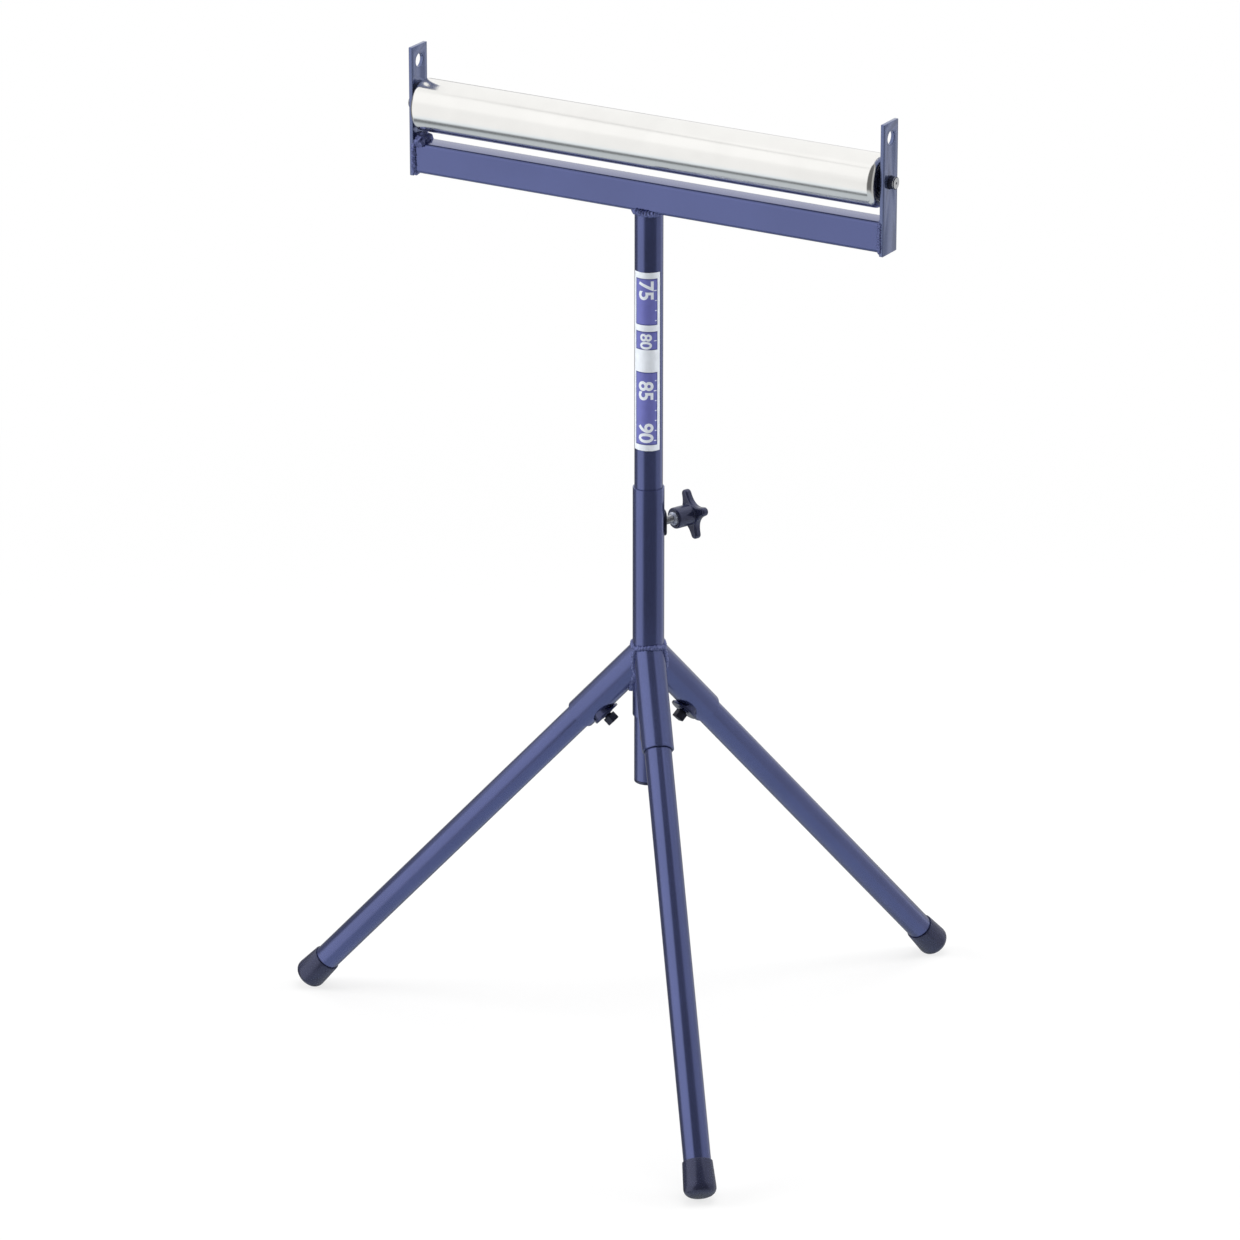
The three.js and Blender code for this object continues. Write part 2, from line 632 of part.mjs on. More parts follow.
function makeFootCap(name) {
  const rim = LEG_REACH - FOOT_LENGTH;
  const outline = [
    [0, LEG_REACH - FOOT_FLOOR],
    [footBore, LEG_REACH - FOOT_FLOOR],
    [footBore, rim],
    [footRimRadius - FOOT_RIM_EDGE, rim],
    [footRimRadius, rim + FOOT_RIM_EDGE],
    ...quarterRound([footRadius - FOOT_EDGE, LEG_REACH - FOOT_EDGE], FOOT_EDGE, 0),
    [0, LEG_REACH],
  ];
  const floorBlock = new THREE.BoxGeometry(4 * LEG_REACH, LEG_REACH, LEG_REACH);
  floorBlock.translate(0, 0, -LEG_REACH / 2 - junctionHeight);
  const cap = cut(turned(outline, RING_SIDES), uprightToLeg(floorBlock));
  return piece(`foot_cap_${name}`, cap, blackRubber);
}

function makeLegScrew(name) {
  const shankEnd = socketRadius + SEAT_GAP + FLANGE_THICKNESS + LEG_SCREW_NECK;
  const headTop = shankEnd + LEG_SCREW_HEAD_HEIGHT;
  const half = LEG_SCREW_HEAD / 2;
  const square = new THREE.Shape();
  square.moveTo(-half, -half);
  square.lineTo(half, -half);
  square.lineTo(half, half);
  square.lineTo(-half, half);
  square.closePath();
  const head = new THREE.ExtrudeGeometry(square, {
    depth: LEG_SCREW_HEAD_HEIGHT - 2 * LEG_SCREW_HEAD_CHAMFER,
    bevelThickness: LEG_SCREW_HEAD_CHAMFER,
    bevelSize: LEG_SCREW_HEAD_CHAMFER,
    bevelOffset: -LEG_SCREW_HEAD_CHAMFER,
    bevelSegments: 1,
  });
  head.rotateZ(LEG_SCREW_TURN).translate(0, 0, shankEnd + LEG_SCREW_HEAD_CHAMFER);
  const shankTop = headTop - LEG_SCREW_HEAD_HEIGHT / 2;
  const shank = rod(LEG_SCREW_DIAMETER / 2, legRadius + SEAT_GAP, shankTop, SCREW_TIP_CHAMFER);
  const screw = join(shank, head).rotateY(Math.PI / 2).translate(0, 0, screwStation);
  return piece(`leg_clamp_screw_${name}`, screw, blackSteel);
}

function makeLeg(name, azimuth) {
  const leg = new THREE.Group();
  leg.position.z = junctionHeight;
  leg.rotation.set(0, Math.PI - LEG_TILT, azimuth, "ZYX");
  const nut = weldNut(flangePlate(socketRadius), LEG_SCREW_DIAMETER, socketRadius, SOCKET_WALL);
  leg.add(
    makeSocket(name),
    piece(`leg_tube_${name}`, tube(legRadius - LEG_WALL, legRadius, legStart, legEnd), bluePaint),
    makeFootCap(name),
    piece(`socket_nut_${name}`, nut.translate(0, 0, screwStation), blackSteel),
    makeLegScrew(name),
  );
  return leg;
}

const stand = new THREE.Group();
stand.add(makePost(), makeClamp(), ...makeMast(), makeBeam());
stand.add(makeEar("right", 1), makeEar("left", -1), makeRollerGroup());
LEG_NAMES.forEach((name, i) => stand.add(makeLeg(name, legAzimuths[i])));

export default stand;
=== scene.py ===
"""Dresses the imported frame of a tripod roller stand: painted tubes, bright roller, knob and caps."""

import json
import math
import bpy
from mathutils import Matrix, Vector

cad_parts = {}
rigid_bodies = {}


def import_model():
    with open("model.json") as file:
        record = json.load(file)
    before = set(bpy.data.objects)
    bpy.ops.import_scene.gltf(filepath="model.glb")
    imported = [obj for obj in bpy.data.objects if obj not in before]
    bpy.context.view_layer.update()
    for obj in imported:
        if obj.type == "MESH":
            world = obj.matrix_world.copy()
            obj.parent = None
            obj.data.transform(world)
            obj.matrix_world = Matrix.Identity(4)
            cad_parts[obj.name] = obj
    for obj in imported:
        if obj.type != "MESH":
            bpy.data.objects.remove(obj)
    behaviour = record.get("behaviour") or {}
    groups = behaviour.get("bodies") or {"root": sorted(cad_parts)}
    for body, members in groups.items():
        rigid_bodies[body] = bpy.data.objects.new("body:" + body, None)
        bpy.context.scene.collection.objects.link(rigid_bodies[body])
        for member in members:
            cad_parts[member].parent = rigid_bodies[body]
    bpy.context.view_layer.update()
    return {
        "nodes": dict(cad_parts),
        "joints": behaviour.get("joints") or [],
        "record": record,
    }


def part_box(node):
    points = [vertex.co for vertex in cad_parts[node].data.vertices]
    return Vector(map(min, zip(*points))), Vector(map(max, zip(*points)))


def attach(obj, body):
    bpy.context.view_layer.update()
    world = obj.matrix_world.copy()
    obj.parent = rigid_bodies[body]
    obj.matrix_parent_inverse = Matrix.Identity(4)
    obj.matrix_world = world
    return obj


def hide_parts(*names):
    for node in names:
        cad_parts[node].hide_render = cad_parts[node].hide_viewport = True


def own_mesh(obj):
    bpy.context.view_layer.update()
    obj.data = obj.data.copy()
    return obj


bl_info = {
    "name": "Roller stand",
    "version": (1, 0, 0),
    "blender": (4, 5, 0),
    "location": "3D View > Sidebar > Roller stand",
    "description": "Builds a tripod roller stand round its packed frame",
    "category": "Object",
}

import bmesh
import bpy
from bpy.props import FloatProperty, FloatVectorProperty, IntProperty, PointerProperty
from mathutils import Matrix, Vector, noise

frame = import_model()

LEG_NAMES = ("front", "right", "left")
SIDES = {"right": 1, "left": -1}
JOINTS = {joint["name"]: joint for joint in frame["joints"]}
MM = 0.001
TURN = 2 * math.pi
SMOOTH_LIMIT = math.radians(32)
POINT_MERGE = 1e-7
# Steps of a rounded corner, and sides of round pieces.
ROUND_STEPS = 6
BIG_ROUND, TUBE_ROUND, PART_ROUND, SMALL_ROUND = 128, 96, 64, 48
SOCKET_ROUND, HUB_ROUND, THREAD_ROUND, BEAD_ROUND, WIRE_ROUND = 120, 72, 40, 28, 12
# Play between parts that fit, and the gap between parts that stay clear of each other.
FIT = 0.1 * MM
GAP = 0.3 * MM
# Distance between the rings of a weld bead.
WELD_SPACING = 0.5 * MM


def node_sizes(node):
    """Middle point and full extents of a CAD node."""
    low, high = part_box(node)
    return (low + high) / 2, high - low


ROLLER_MIDDLE, ROLLER_EXTENT = node_sizes("roller_tube")
BEAM_MIDDLE, BEAM_EXTENT = node_sizes("cross_beam")
EAR_MIDDLE, EAR_EXTENT = node_sizes("ear_right")
MAST_MIDDLE, MAST_EXTENT = node_sizes("mast_tube")
POST_MIDDLE, POST_EXTENT = node_sizes("outer_post")
AXLE_EXTENT = node_sizes("roller_axle")[1]


def length(name, description, default):
    """A size that a user may change, in metres."""
    return FloatProperty(name=name, description=description, default=default, unit="LENGTH", precision=5)


def angle(name, description, degrees):
    """An angle that a user may change, written in degrees."""
    return FloatProperty(name=name, description=description, default=math.radians(degrees), subtype="ANGLE")


def colour(name, description, red, green, blue):
    """A finish's colour, written as the 0 to 255 values that it has on a screen."""
    linear = []
    for value in (red, green, blue):
        share = value / 255
        linear.append(share / 12.92 if share <= 0.04045 else ((share + 0.055) / 1.055) ** 2.4)
    return FloatVectorProperty(
        name=name, description=description, default=linear, subtype="COLOR", size=3, min=0, max=1
    )


class RollerSizes(bpy.types.PropertyGroup):
    """Roller, its end parts and its axle."""

    diameter: length("Diameter", "Outside of the roller's tube", ROLLER_EXTENT.z)
    width: length("Width", "Roller from end to end", ROLLER_EXTENT.x)
    wall: length("Wall", "Thickness of the roller's tube", 1.5 * MM)
    shoulder: length("Shoulder", "Outer round where the ends are rolled inwards", 5 * MM)
    lip: length("Lip", "Flat ring that a rolled end leaves", 1.7 * MM)
    seal_ribs: IntProperty(name="Seal ribs", description="Moulded rings on each dust seal", default=3)
    rib_height: length("Rib height", "How far the seal's rings stand up", 0.25 * MM)
    axle_chamfer: length("Axle chamfer", "Bevel round the axle's ends", 0.8 * MM)
    spring_wire: length("Spring wire", "Thickness of the spring's wire", 1.5 * MM)
    spring_turns: IntProperty(name="Spring turns", description="Turns of the axle's spring", default=7)


class HeadSizes(bpy.types.PropertyGroup):
    """Cross beam and the two ears."""

    beam_corner: length("Beam corner", "Outer corner radius of the beam's tube", 4 * MM)
    beam_wall: length("Beam wall", "Thickness of the beam's tube", 2 * MM)
    ear_edge: length("Ear edge", "Break on the ear's edges", 0.45 * MM)
    axle_hole: length("Axle hole", "Hole for the axle in each ear", 12.6 * MM)
    guide_hole: length("Guide hole", "Open hole near the top of each ear", 13.5 * MM)
    guide_drop: length("Guide hole drop", "Guide hole's centre below the ear's top", 15.2 * MM)
    ear_weld: length("Ear weld", "Radius of the beads between the beam and the ears", 2.6 * MM)
    weld_pile: length("Weld pile", "Radius of the bead where it is piled up on the beam's top", 6.4 * MM)
    mast_weld: length("Mast weld", "Radius of the bead under the beam round the mast", 3 * MM)


class MastSizes(bpy.types.PropertyGroup):
    """Mast, its plug and the outer post."""

    mast_diameter: length("Mast diameter", "Outside of the mast", MAST_EXTENT.x)
    mast_wall: length("Mast wall", "Thickness of the mast's tube", 1.5 * MM)
    post_diameter: length("Post diameter", "Outside of the post", POST_EXTENT.x)
    post_wall: length("Post wall", "Thickness of the post's tube", 1.3 * MM)
    edge: length("Edge", "Break on the tubes' ends", 0.4 * MM)
    plug_dish: length("Plug dish", "Hollow in the plug's face", 0.8 * MM)


class LabelSizes(bpy.types.PropertyGroup):
    """Height scale stuck on the mast."""

    low: length("Low end", "Height of the label's lower end", 622.2 * MM)
    high: length("High end", "Height of the label's upper end", 800.4 * MM)
    facing: angle("Facing", "Direction that the label's middle faces", -71.8)
    span: angle("Span", "How far the label goes round the mast", 122)
    panel_span: angle("Panel span", "How far its coloured panels go round the mast", 96)
    frame: length("Frame", "Width of the dark line round each panel", 1 * MM)
    film: length("Film", "Thickness of the label and of each layer of ink", 0.05 * MM)
    digit: length("Digit", "Height of the numbers, which lie across the mast", 14 * MM)
    tick: length("Tick", "Thickness of the scale's marks", 0.9 * MM)


class LegSizes(bpy.types.PropertyGroup):
    """Legs, their sockets and caps. Lengths run along a leg from the mast's axis."""

    leg_diameter: length("Leg diameter", "Outside of each leg", 26.2 * MM)
    leg_wall: length("Leg wall", "Thickness of each leg's tube", 1.5 * MM)
    leg_start: length("Leg start", "Upper end of the leg's tube", 37 * MM)
    reach: length("Reach", "End of the foot cap", 550 * MM)
    socket_diameter: length("Socket diameter", "Outside of each socket", 31 * MM)
    socket_bore: length("Socket bore", "Inside of each socket", 27.2 * MM)
    socket_end: length("Socket end", "Lower end of each socket", 105.5 * MM)
    weld_size: length("Weld size", "Radius of the beads between the sockets and the post", 2.5 * MM)
    weld_heel: length("Weld heel", "Radius of those beads under the socket", 4.6 * MM)
    cap_length: length("Cap length", "Foot cap from its rim to its end", 32.5 * MM)
    cap_rim: length("Cap rim", "Radius of the cap's rim", 14.4 * MM)
    cap_flare: length("Cap flare", "How much wider the cap is at its end, on the radius", 1.8 * MM)
    cap_edge: length("Cap edge", "Round of the cap's end", 8 * MM)
    cap_bulge: length("Cap bulge", "How far the round end stands out", 1.4 * MM)
    cap_floor: length("Cap floor", "Thickness of the cap's end", 4 * MM)


class ClampSizes(bpy.types.PropertyGroup):
    """Clamp knob, saddle nuts and leg screws. Lengths run out from the axis of the clamped tube."""

    saddle_diameter: length("Saddle diameter", "Round nut plate that is bent over the post", 27.5 * MM)
    saddle_thickness: length("Saddle thickness", "Thickness of that plate", 2.4 * MM)
    flange_diameter: length("Flange diameter", "Flat round nut plate under each socket", 28 * MM)
    flange_thickness: length("Flange thickness", "Thickness of that plate", 3 * MM)
    stud_diameter: length("Stud diameter", "Threaded stud of the mast's clamp", 8 * MM)
    thread_pitch: length("Thread pitch", "Advance of the stud in a turn", 1.25 * MM)
    knob_start: length("Knob start", "Inner end of the knob's hub", 30.6 * MM)
    hub_diameter: length("Hub diameter", "Knob's hub", 20.8 * MM)
    hub_length: length("Hub length", "Hub from its inner end to the arms", 18 * MM)
    knob_diameter: length("Knob diameter", "Knob across its arms", 49 * MM)
    arm_width: length("Arm width", "Width of an arm at its tip", 8.6 * MM)
    arm_thickness: length("Arm thickness", "Thickness of the arms", 7 * MM)
    arm_count: IntProperty(name="Arms", description="Number of arms on the knob", default=4)
    knob_turn: angle("Knob turn", "How far the knob is turned", -21.5)
    insert_diameter: length("Insert diameter", "Metal insert in the hub", 13.4 * MM)
    screw_diameter: length("Screw diameter", "Leg clamp screws", 8 * MM)
    screw_head: length("Screw head", "Square head across its flats", 9.5 * MM)
    screw_head_height: length("Screw head height", "Height of the square head", 8 * MM)
    screw_neck: length("Screw neck", "Shank that shows under the head", 1 * MM)
    screw_turn: angle("Screw turn", "How far the square heads are turned", 18)


class Finishes(bpy.types.PropertyGroup):
    """Colours of the finishes."""

    paint: colour("Paint", "Blue-violet enamel on the tubes", 88, 97, 148)
    # The ear enamel is a paler copy of the tube enamel: painted light that makes the flat ears look more
    # brightly lit.
    ear_paint: colour("Ear paint", "The same enamel on the flat ears", 100, 111, 150)
    # The nut enamel is a darker copy of the tube enamel: painted shade for the nuts that sit in shadow
    # under the sockets.
    nut_paint: colour("Nut paint", "Thin dark enamel on the leg nuts", 60, 66, 104)
    # The weld enamel is a paler copy of the tube enamel: painted light that brightens the lumpy welds.
    weld_paint: colour("Weld paint", "The same enamel on the rough welds", 98, 106, 156)
    zinc: colour("Zinc", "Bright plating on the roller", 246, 245, 242)
    steel: colour("Steel", "Turned steel of the axle and bearings", 214, 215, 218)
    insert: colour("Insert", "Pale zinc on the knob's insert", 192, 198, 214)
    black_steel: colour("Black steel", "Nuts and screws", 40, 43, 60)
    plastic: colour("Plastic", "Moulded knob, plug and seals", 38, 41, 62)
    rubber: colour("Rubber", "Foot caps", 33, 36, 58)
    black_sheen: colour("Black sheen", "Tint of the sheen on black plastic and rubber", 212, 217, 255)
    label_white: colour("Label white", "Label's film and its numbers", 232, 238, 246)
    label_blue: colour("Label blue", "Label's panels", 106, 110, 184)
    label_navy: colour("Label navy", "Line round the label's panels", 66, 72, 136)
    floor: colour("Floor", "Pale floor", 240, 240, 240)


class StageSettings(bpy.types.PropertyGroup):
    """Camera, lamps and floor."""

    camera_place: FloatVectorProperty(
        name="Camera place",
        description="Where the camera stands",
        default=(3.0880, -5.3529, 2.7907),
        subtype="XYZ",
    )
    camera_azimuth: angle("Camera azimuth", "Direction of the view round the mast", 30.2337)
    camera_elevation: angle("Camera elevation", "How far the camera looks down", 20.7864)
    camera_lens: FloatProperty(name="Lens", description="Focal length on a 36 mm sensor", default=199.04)
    floor_width: length("Floor width", "Side of the floor", 60.0)
    key_power: FloatProperty(name="Key", description="Power of the left soft box, in watts", default=80)
    fill_power: FloatProperty(name="Fill", description="Power of the right soft box, in watts", default=55)
    top_power: FloatProperty(name="Top", description="Power of the top soft box, in watts", default=60)
    sky: FloatProperty(name="Sky", description="Strength of the surrounding light", default=0.35)


def settings(name):
    """One of the stand's property groups on the current scene."""
    return getattr(bpy.context.scene, f"stand_{name}")


def fillet(corners, closed=True):
    """Points of an outline whose corners are given as (x, y, radius)."""
    points = []
    for i, (x, y, radius) in enumerate(corners):
        corner = Vector((x, y))
        is_end = not closed and i in (0, len(corners) - 1)
        if radius == 0 or is_end:
            points.append(corner)
            continue
        before = (Vector(corners[i - 1][:2]) - corner).normalized()
        after = (Vector(corners[(i + 1) % len(corners)][:2]) - corner).normalized()
        half = before.angle(after) / 2
        middle = corner + (before + after).normalized() * radius / math.sin(half)
        start = corner + before * radius / math.tan(half) - middle
        end = corner + after * radius / math.tan(half) - middle
        sweep = start.angle_signed(end)
        for step in range(ROUND_STEPS + 1):
            turn = Matrix.Rotation(-sweep * step / ROUND_STEPS, 2)
            points.append(middle + turn @ start)
    return points


def turned(corners, sides, closed=True):
    """A body turned about Z from an outline of (radius, z, corner radius)."""
    bm = bmesh.new()
    verts = [bm.verts.new((point.x, 0, point.y)) for point in fillet(corners, closed)]
    edges = [bm.edges.new(pair) for pair in zip(verts, verts[1:])]
    if closed:
        edges.append(bm.edges.new((verts[-1], verts[0])))
    bmesh.ops.spin(bm, geom=verts + edges, axis=(0, 0, 1), angle=TURN, steps=sides, use_merge=True)
    bmesh.ops.remove_doubles(bm, verts=bm.verts, dist=POINT_MERGE)
    bmesh.ops.recalc_face_normals(bm, faces=bm.faces)
    return bm


def tube(bore, radius, low, high, edge, sides):
    """A round tube along Z with broken outer edges."""
    return turned([(bore, low, 0), (radius, low, edge), (radius, high, edge), (bore, high, 0)], sides)


def lofted(rings, closed=False):
    """A skin over rings of points. An open one gets a face over each end."""
    bm = bmesh.new()
    loops = [[bm.verts.new(point) for point in ring] for ring in rings]
    pairs = list(zip(loops, loops[1:]))
    if closed:
        pairs.append((loops[-1], loops[0]))
    else:
        bm.faces.new(loops[0])
        bm.faces.new(loops[-1])
    for here, there in pairs:
        for i in range(len(here)):
            bm.faces.new((here[i - 1], here[i], there[i], there[i - 1]))
    bmesh.ops.recalc_face_normals(bm, faces=bm.faces)
    return bm


def as_mesh(bm, name):
    """Blender's own mesh from an edited one, which is freed."""
    mesh = bpy.data.meshes.new(name)
    bm.to_mesh(mesh)
    bm.free()
    return mesh


def placed(name, data):
    """A new object in the scene."""
    holder = bpy.data.objects.new(name, data)
    bpy.context.scene.collection.objects.link(holder)
    return holder


def worked_out(holder):
    """The final mesh of an object, which is removed with its data."""
    final = bpy.data.meshes.new_from_object(holder.evaluated_get(bpy.context.evaluated_depsgraph_get()))
    bm = bmesh.new()
    bm.from_mesh(final)
    data = holder.data
    bpy.data.objects.remove(holder)
    bpy.data.batch_remove([data, final])
    return bm


def plate(outlines, thickness, edge):
    """A flat plate between z = 0 and its thickness. The first outline is its rim and the rest are holes."""
    curve = bpy.data.curves.new("plate_outline", "CURVE")
    curve.dimensions = "2D"
    curve.fill_mode = "BOTH"
    curve.extrude = thickness / 2 - edge
    curve.bevel_depth = edge
    curve.bevel_resolution = 2
    curve.offset = -edge
    for outline in outlines:
        spline = curve.splines.new("POLY")
        spline.points.add(len(outline) - 1)
        for point, (x, y) in zip(spline.points, outline):
            point.co = (x, y, 0, 1)
        spline.use_cyclic_u = True
    bm = worked_out(placed("plate_outline", curve))
    bmesh.ops.remove_doubles(bm, verts=bm.verts, dist=POINT_MERGE)
    bmesh.ops.recalc_face_normals(bm, faces=bm.faces)
    bmesh.ops.translate(bm, verts=bm.verts, vec=(0, 0, thickness / 2))
    return bm


def ring_angles(sides):
    """Angles of the points round a ring."""
    return [TURN * i / sides for i in range(sides)]


def polar(radius, turn):
    """The point at a distance from the origin in a direction."""
    return Vector((radius * math.cos(turn), radius * math.sin(turn)))


def circle(radius, sides, middle=(0, 0)):
    """Points of a circle."""
    return [tuple(Vector(middle) + polar(radius, turn)) for turn in ring_angles(sides)]


def joined(*meshes):
    """Several bodies in one mesh."""
    whole = bmesh.new()
    for bm in meshes:
        part = as_mesh(bm, "part")
        whole.from_mesh(part)
        bpy.data.meshes.remove(part)
    return whole


def sliced(bm, stations, across):
    """The mesh, cut along planes that stand across a direction at several distances from the origin."""
    for station in stations:
        everything = list(bm.verts) + list(bm.edges) + list(bm.faces)
        bmesh.ops.bisect_plane(bm, geom=everything, plane_co=station * Vector(across), plane_no=across)
    return bm


def moved(bm, matrix):
    """The mesh, carried to its place in the stand's frame."""
    bmesh.ops.transform(bm, matrix=matrix, verts=bm.verts)
    return bm


def weld_bead(path, across, size_at, ripple, seed):
    """A closed bead of overlapping weld ripples along a path, which is nowhere parallel to across.

    Its radius is a share of the size asked for. Slow swelling, blobs and pits make it uneven.
    """
    least, ripple_share = 0.82, 0.26
    swell_share, swell_size = 0.28, 6 * MM
    pit_share, pit_size = 0.3, 1.9 * MM
    blob_share, blob_size = 0.4, 4.2 * MM
    swell = Vector((seed, 0, 0))
    spatter = Vector((0, seed, 0))
    count = len(path)
    run = 0
    rings = []
    for i, middle in enumerate(path):
        ahead = path[(i + 1) % count]
        along = (ahead - path[i - 1]).normalized()
        side = along.cross(across).normalized()
        over = side.cross(along)
        lumps = least + ripple_share * abs(math.sin(math.pi * run / ripple))
        lumps += swell_share * noise.noise(middle / swell_size + swell)
        radius = size_at(middle) * lumps
        blobs = blob_share * min(1, radius / blob_size) ** 2
        ring = []
        for turn in ring_angles(BEAD_ROUND):
            outward = radius * (math.cos(turn) * side + math.sin(turn) * over)
            pitted = 1 + pit_share * noise.noise((middle + outward) / pit_size + spatter)
            pitted += blobs * noise.noise((middle + outward) / blob_size + spatter)
            ring.append(middle + pitted * outward)
        rings.append(ring)
        run += (ahead - middle).length
    return lofted(rings, closed=True)


def add_piece(bm, name, finish, body, stands_for=()):
    """Puts a mesh into the scene on a body, with its finish, in place of CAD nodes."""
    mesh = as_mesh(bm, name)
    mesh.shade_smooth()
    mesh.set_sharp_from_angle(angle=SMOOTH_LIMIT)
    mesh.materials.append(material(finish))
    piece = placed(name, mesh)
    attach(piece, body)
    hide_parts(*stands_for)
    return piece


def add_node(tree, kind, inputs=(), **choices):
    """A shader node whose inputs are values or other nodes' sockets."""
    made = tree.nodes.new(kind)
    for name, value in choices.items():
        setattr(made, name, value)
    for name, value in dict(inputs).items():
        if isinstance(value, bpy.types.NodeSocket):
            tree.links.new(value, made.inputs[name])
        else:
            made.inputs[name].default_value = value
    return made


def grain(tree, place, scale, detail=2.0, stretch=(1, 1, 1)):
    """Noise from 0 to 1, at so many cells a metre, which may be drawn out in a direction."""
    drawn = add_node(tree, "ShaderNodeVectorMath", {0: place, 1: stretch}, operation="MULTIPLY").outputs[0]
    inputs = {"Vector": drawn, "Scale": scale, "Detail": detail}
    return add_node(tree, "ShaderNodeTexNoise", inputs).outputs[0]


def between(tree, share, low, high):
    """A value that follows a 0 to 1 noise, which seldom leaves its middle, between two limits."""
    inputs = {"Value": share, "From Min": 0.3, "From Max": 0.7, "To Min": low, "To Max": high}
    return add_node(tree, "ShaderNodeMapRange", inputs, interpolation_type="SMOOTHERSTEP").outputs[0]


def shaded(tree, share, tint, low, high):
    """A colour that follows a 0 to 1 noise between a darker and a lighter tone."""
    tone = between(tree, share, low, high)
    return add_node(tree, "ShaderNodeVectorMath", {0: tint, "Scale": tone}, operation="SCALE").outputs[0]


def lifted(tree, height, depth, strength):
    """A bump from a 0 to 1 height."""
    inputs = {"Height": height, "Distance": depth, "Strength": strength}
    return add_node(tree, "ShaderNodeBump", inputs).outputs[0]


def enamel(tree, shader, place, tint):
    """Glossy metallic enamel with a faint orange peel."""
    cloud = grain(tree, place, 14)
    peel = grain(tree, place, 180, 1.0)
    shader["Base Color"] = shaded(tree, cloud, tint, 0.96, 1.04)
    shader["Roughness"] = between(tree, cloud, 0.2, 0.25)
    shader["Normal"] = lifted(tree, peel, 0.03 * MM, 0.1)
    shader["Metallic"] = 0.85
    shader["Coat Weight"] = 0.6
    shader["Coat Roughness"] = 0.05


def weld_enamel(tree, shader, place, tint):
    """Enamel over rough weld metal, which scatters the light."""
    enamel(tree, shader, place, tint)
    shader["Roughness"] = between(tree, grain(tree, place, 350), 0.34, 0.5)
    shader["Metallic"] = 0.6
    shader["Coat Weight"] = 0.3


def bright_zinc(tree, shader, place, tint):
    """Bright plated tube with fine marks round it."""
    marks = grain(tree, place, 40, 3, (60, 1, 1))
    cloud = grain(tree, place, 30)
    shader["Base Color"] = shaded(tree, cloud, tint, 0.97, 1.0)
    shader["Roughness"] = between(tree, marks, 0.14, 0.2)
    shader["Normal"] = lifted(tree, marks, 0.02 * MM, 0.1)
    shader["Metallic"] = 1.0


def turned_steel(tree, shader, place, tint):
    """Bare metal with fine tool marks."""
    marks = grain(tree, place, 300, 2)
    shader["Base Color"] = shaded(tree, marks, tint, 0.85, 1.0)
    shader["Roughness"] = between(tree, marks, 0.22, 0.38)
    shader["Normal"] = lifted(tree, marks, 0.05 * MM, 0.15)
    shader["Metallic"] = 1.0


def chalky_zinc(tree, shader, place, tint):
    """Pale zinc plating with a slightly chalky skin."""
    turned_steel(tree, shader, place, tint)
    shader["Metallic"] = 0.55


def blackened_steel(tree, shader, place, tint):
    """Blackened steel with a dry, slightly pitted skin."""
    pits = grain(tree, place, 700, 3)
    cloud = grain(tree, place, 90)
    shader["Base Color"] = shaded(tree, cloud, tint, 0.75, 1.2)
    shader["Roughness"] = between(tree, pits, 0.32, 0.5)
    shader["Normal"] = lifted(tree, pits, 0.1 * MM, 0.3)
    shader["Metallic"] = 0.5


def moulded_plastic(tree, shader, place, tint):
    """Moulded plastic with a fine spark texture."""
    spark = grain(tree, place, 1400, 2)
    cloud = grain(tree, place, 60)
    shader["Base Color"] = shaded(tree, cloud, tint, 0.9, 1.1)
    shader["Roughness"] = between(tree, spark, 0.16, 0.22)
    shader["Normal"] = lifted(tree, spark, 0.02 * MM, 0.1)
    shader["Specular IOR Level"] = 1.0
    shader["Specular Tint"] = (*settings("finishes").black_sheen, 1)


def soft_rubber(tree, shader, place, tint):
    """Soft black rubber with a smooth moulded skin."""
    skin = grain(tree, place, 900, 3)
    cloud = grain(tree, place, 45)
    shader["Base Color"] = shaded(tree, cloud, tint, 0.85, 1.15)
    shader["Roughness"] = between(tree, skin, 0.2, 0.28)
    shader["Normal"] = lifted(tree, skin, 0.04 * MM, 0.15)
    shader["Specular IOR Level"] = 1.0
    shader["Specular Tint"] = (*settings("finishes").black_sheen, 1)


def printed_film(tree, shader, place, tint):
    """Printed film that follows the tube with a faint ripple."""
    ripple = grain(tree, place, 160)
    shader["Base Color"] = shaded(tree, ripple, tint, 0.97, 1.02)
    shader["Roughness"] = between(tree, ripple, 0.3, 0.4)
    shader["Normal"] = lifted(tree, ripple, 0.05 * MM, 0.1)


FINISHES = {
    "blue_paint": (enamel, "paint"),
    # Paler enamel for the ears: painted light.
    "ear_paint": (enamel, "ear_paint"),
    # Darker enamel for the leg nuts: painted shade.
    "nut_paint": (enamel, "nut_paint"),
    # Paler enamel for the welds: painted light.
    "weld_paint": (weld_enamel, "weld_paint"),
    "pale_zinc": (chalky_zinc, "insert"),
    "zinc_steel": (bright_zinc, "zinc"),
    "bright_steel": (turned_steel, "steel"),
    "black_steel": (blackened_steel, "black_steel"),
    "black_plastic": (moulded_plastic, "plastic"),
    "black_rubber": (soft_rubber, "rubber"),
    "label_white": (printed_film, "label_white"),
    "label_blue": (printed_film, "label_blue"),
    "label_navy": (printed_film, "label_navy"),
}


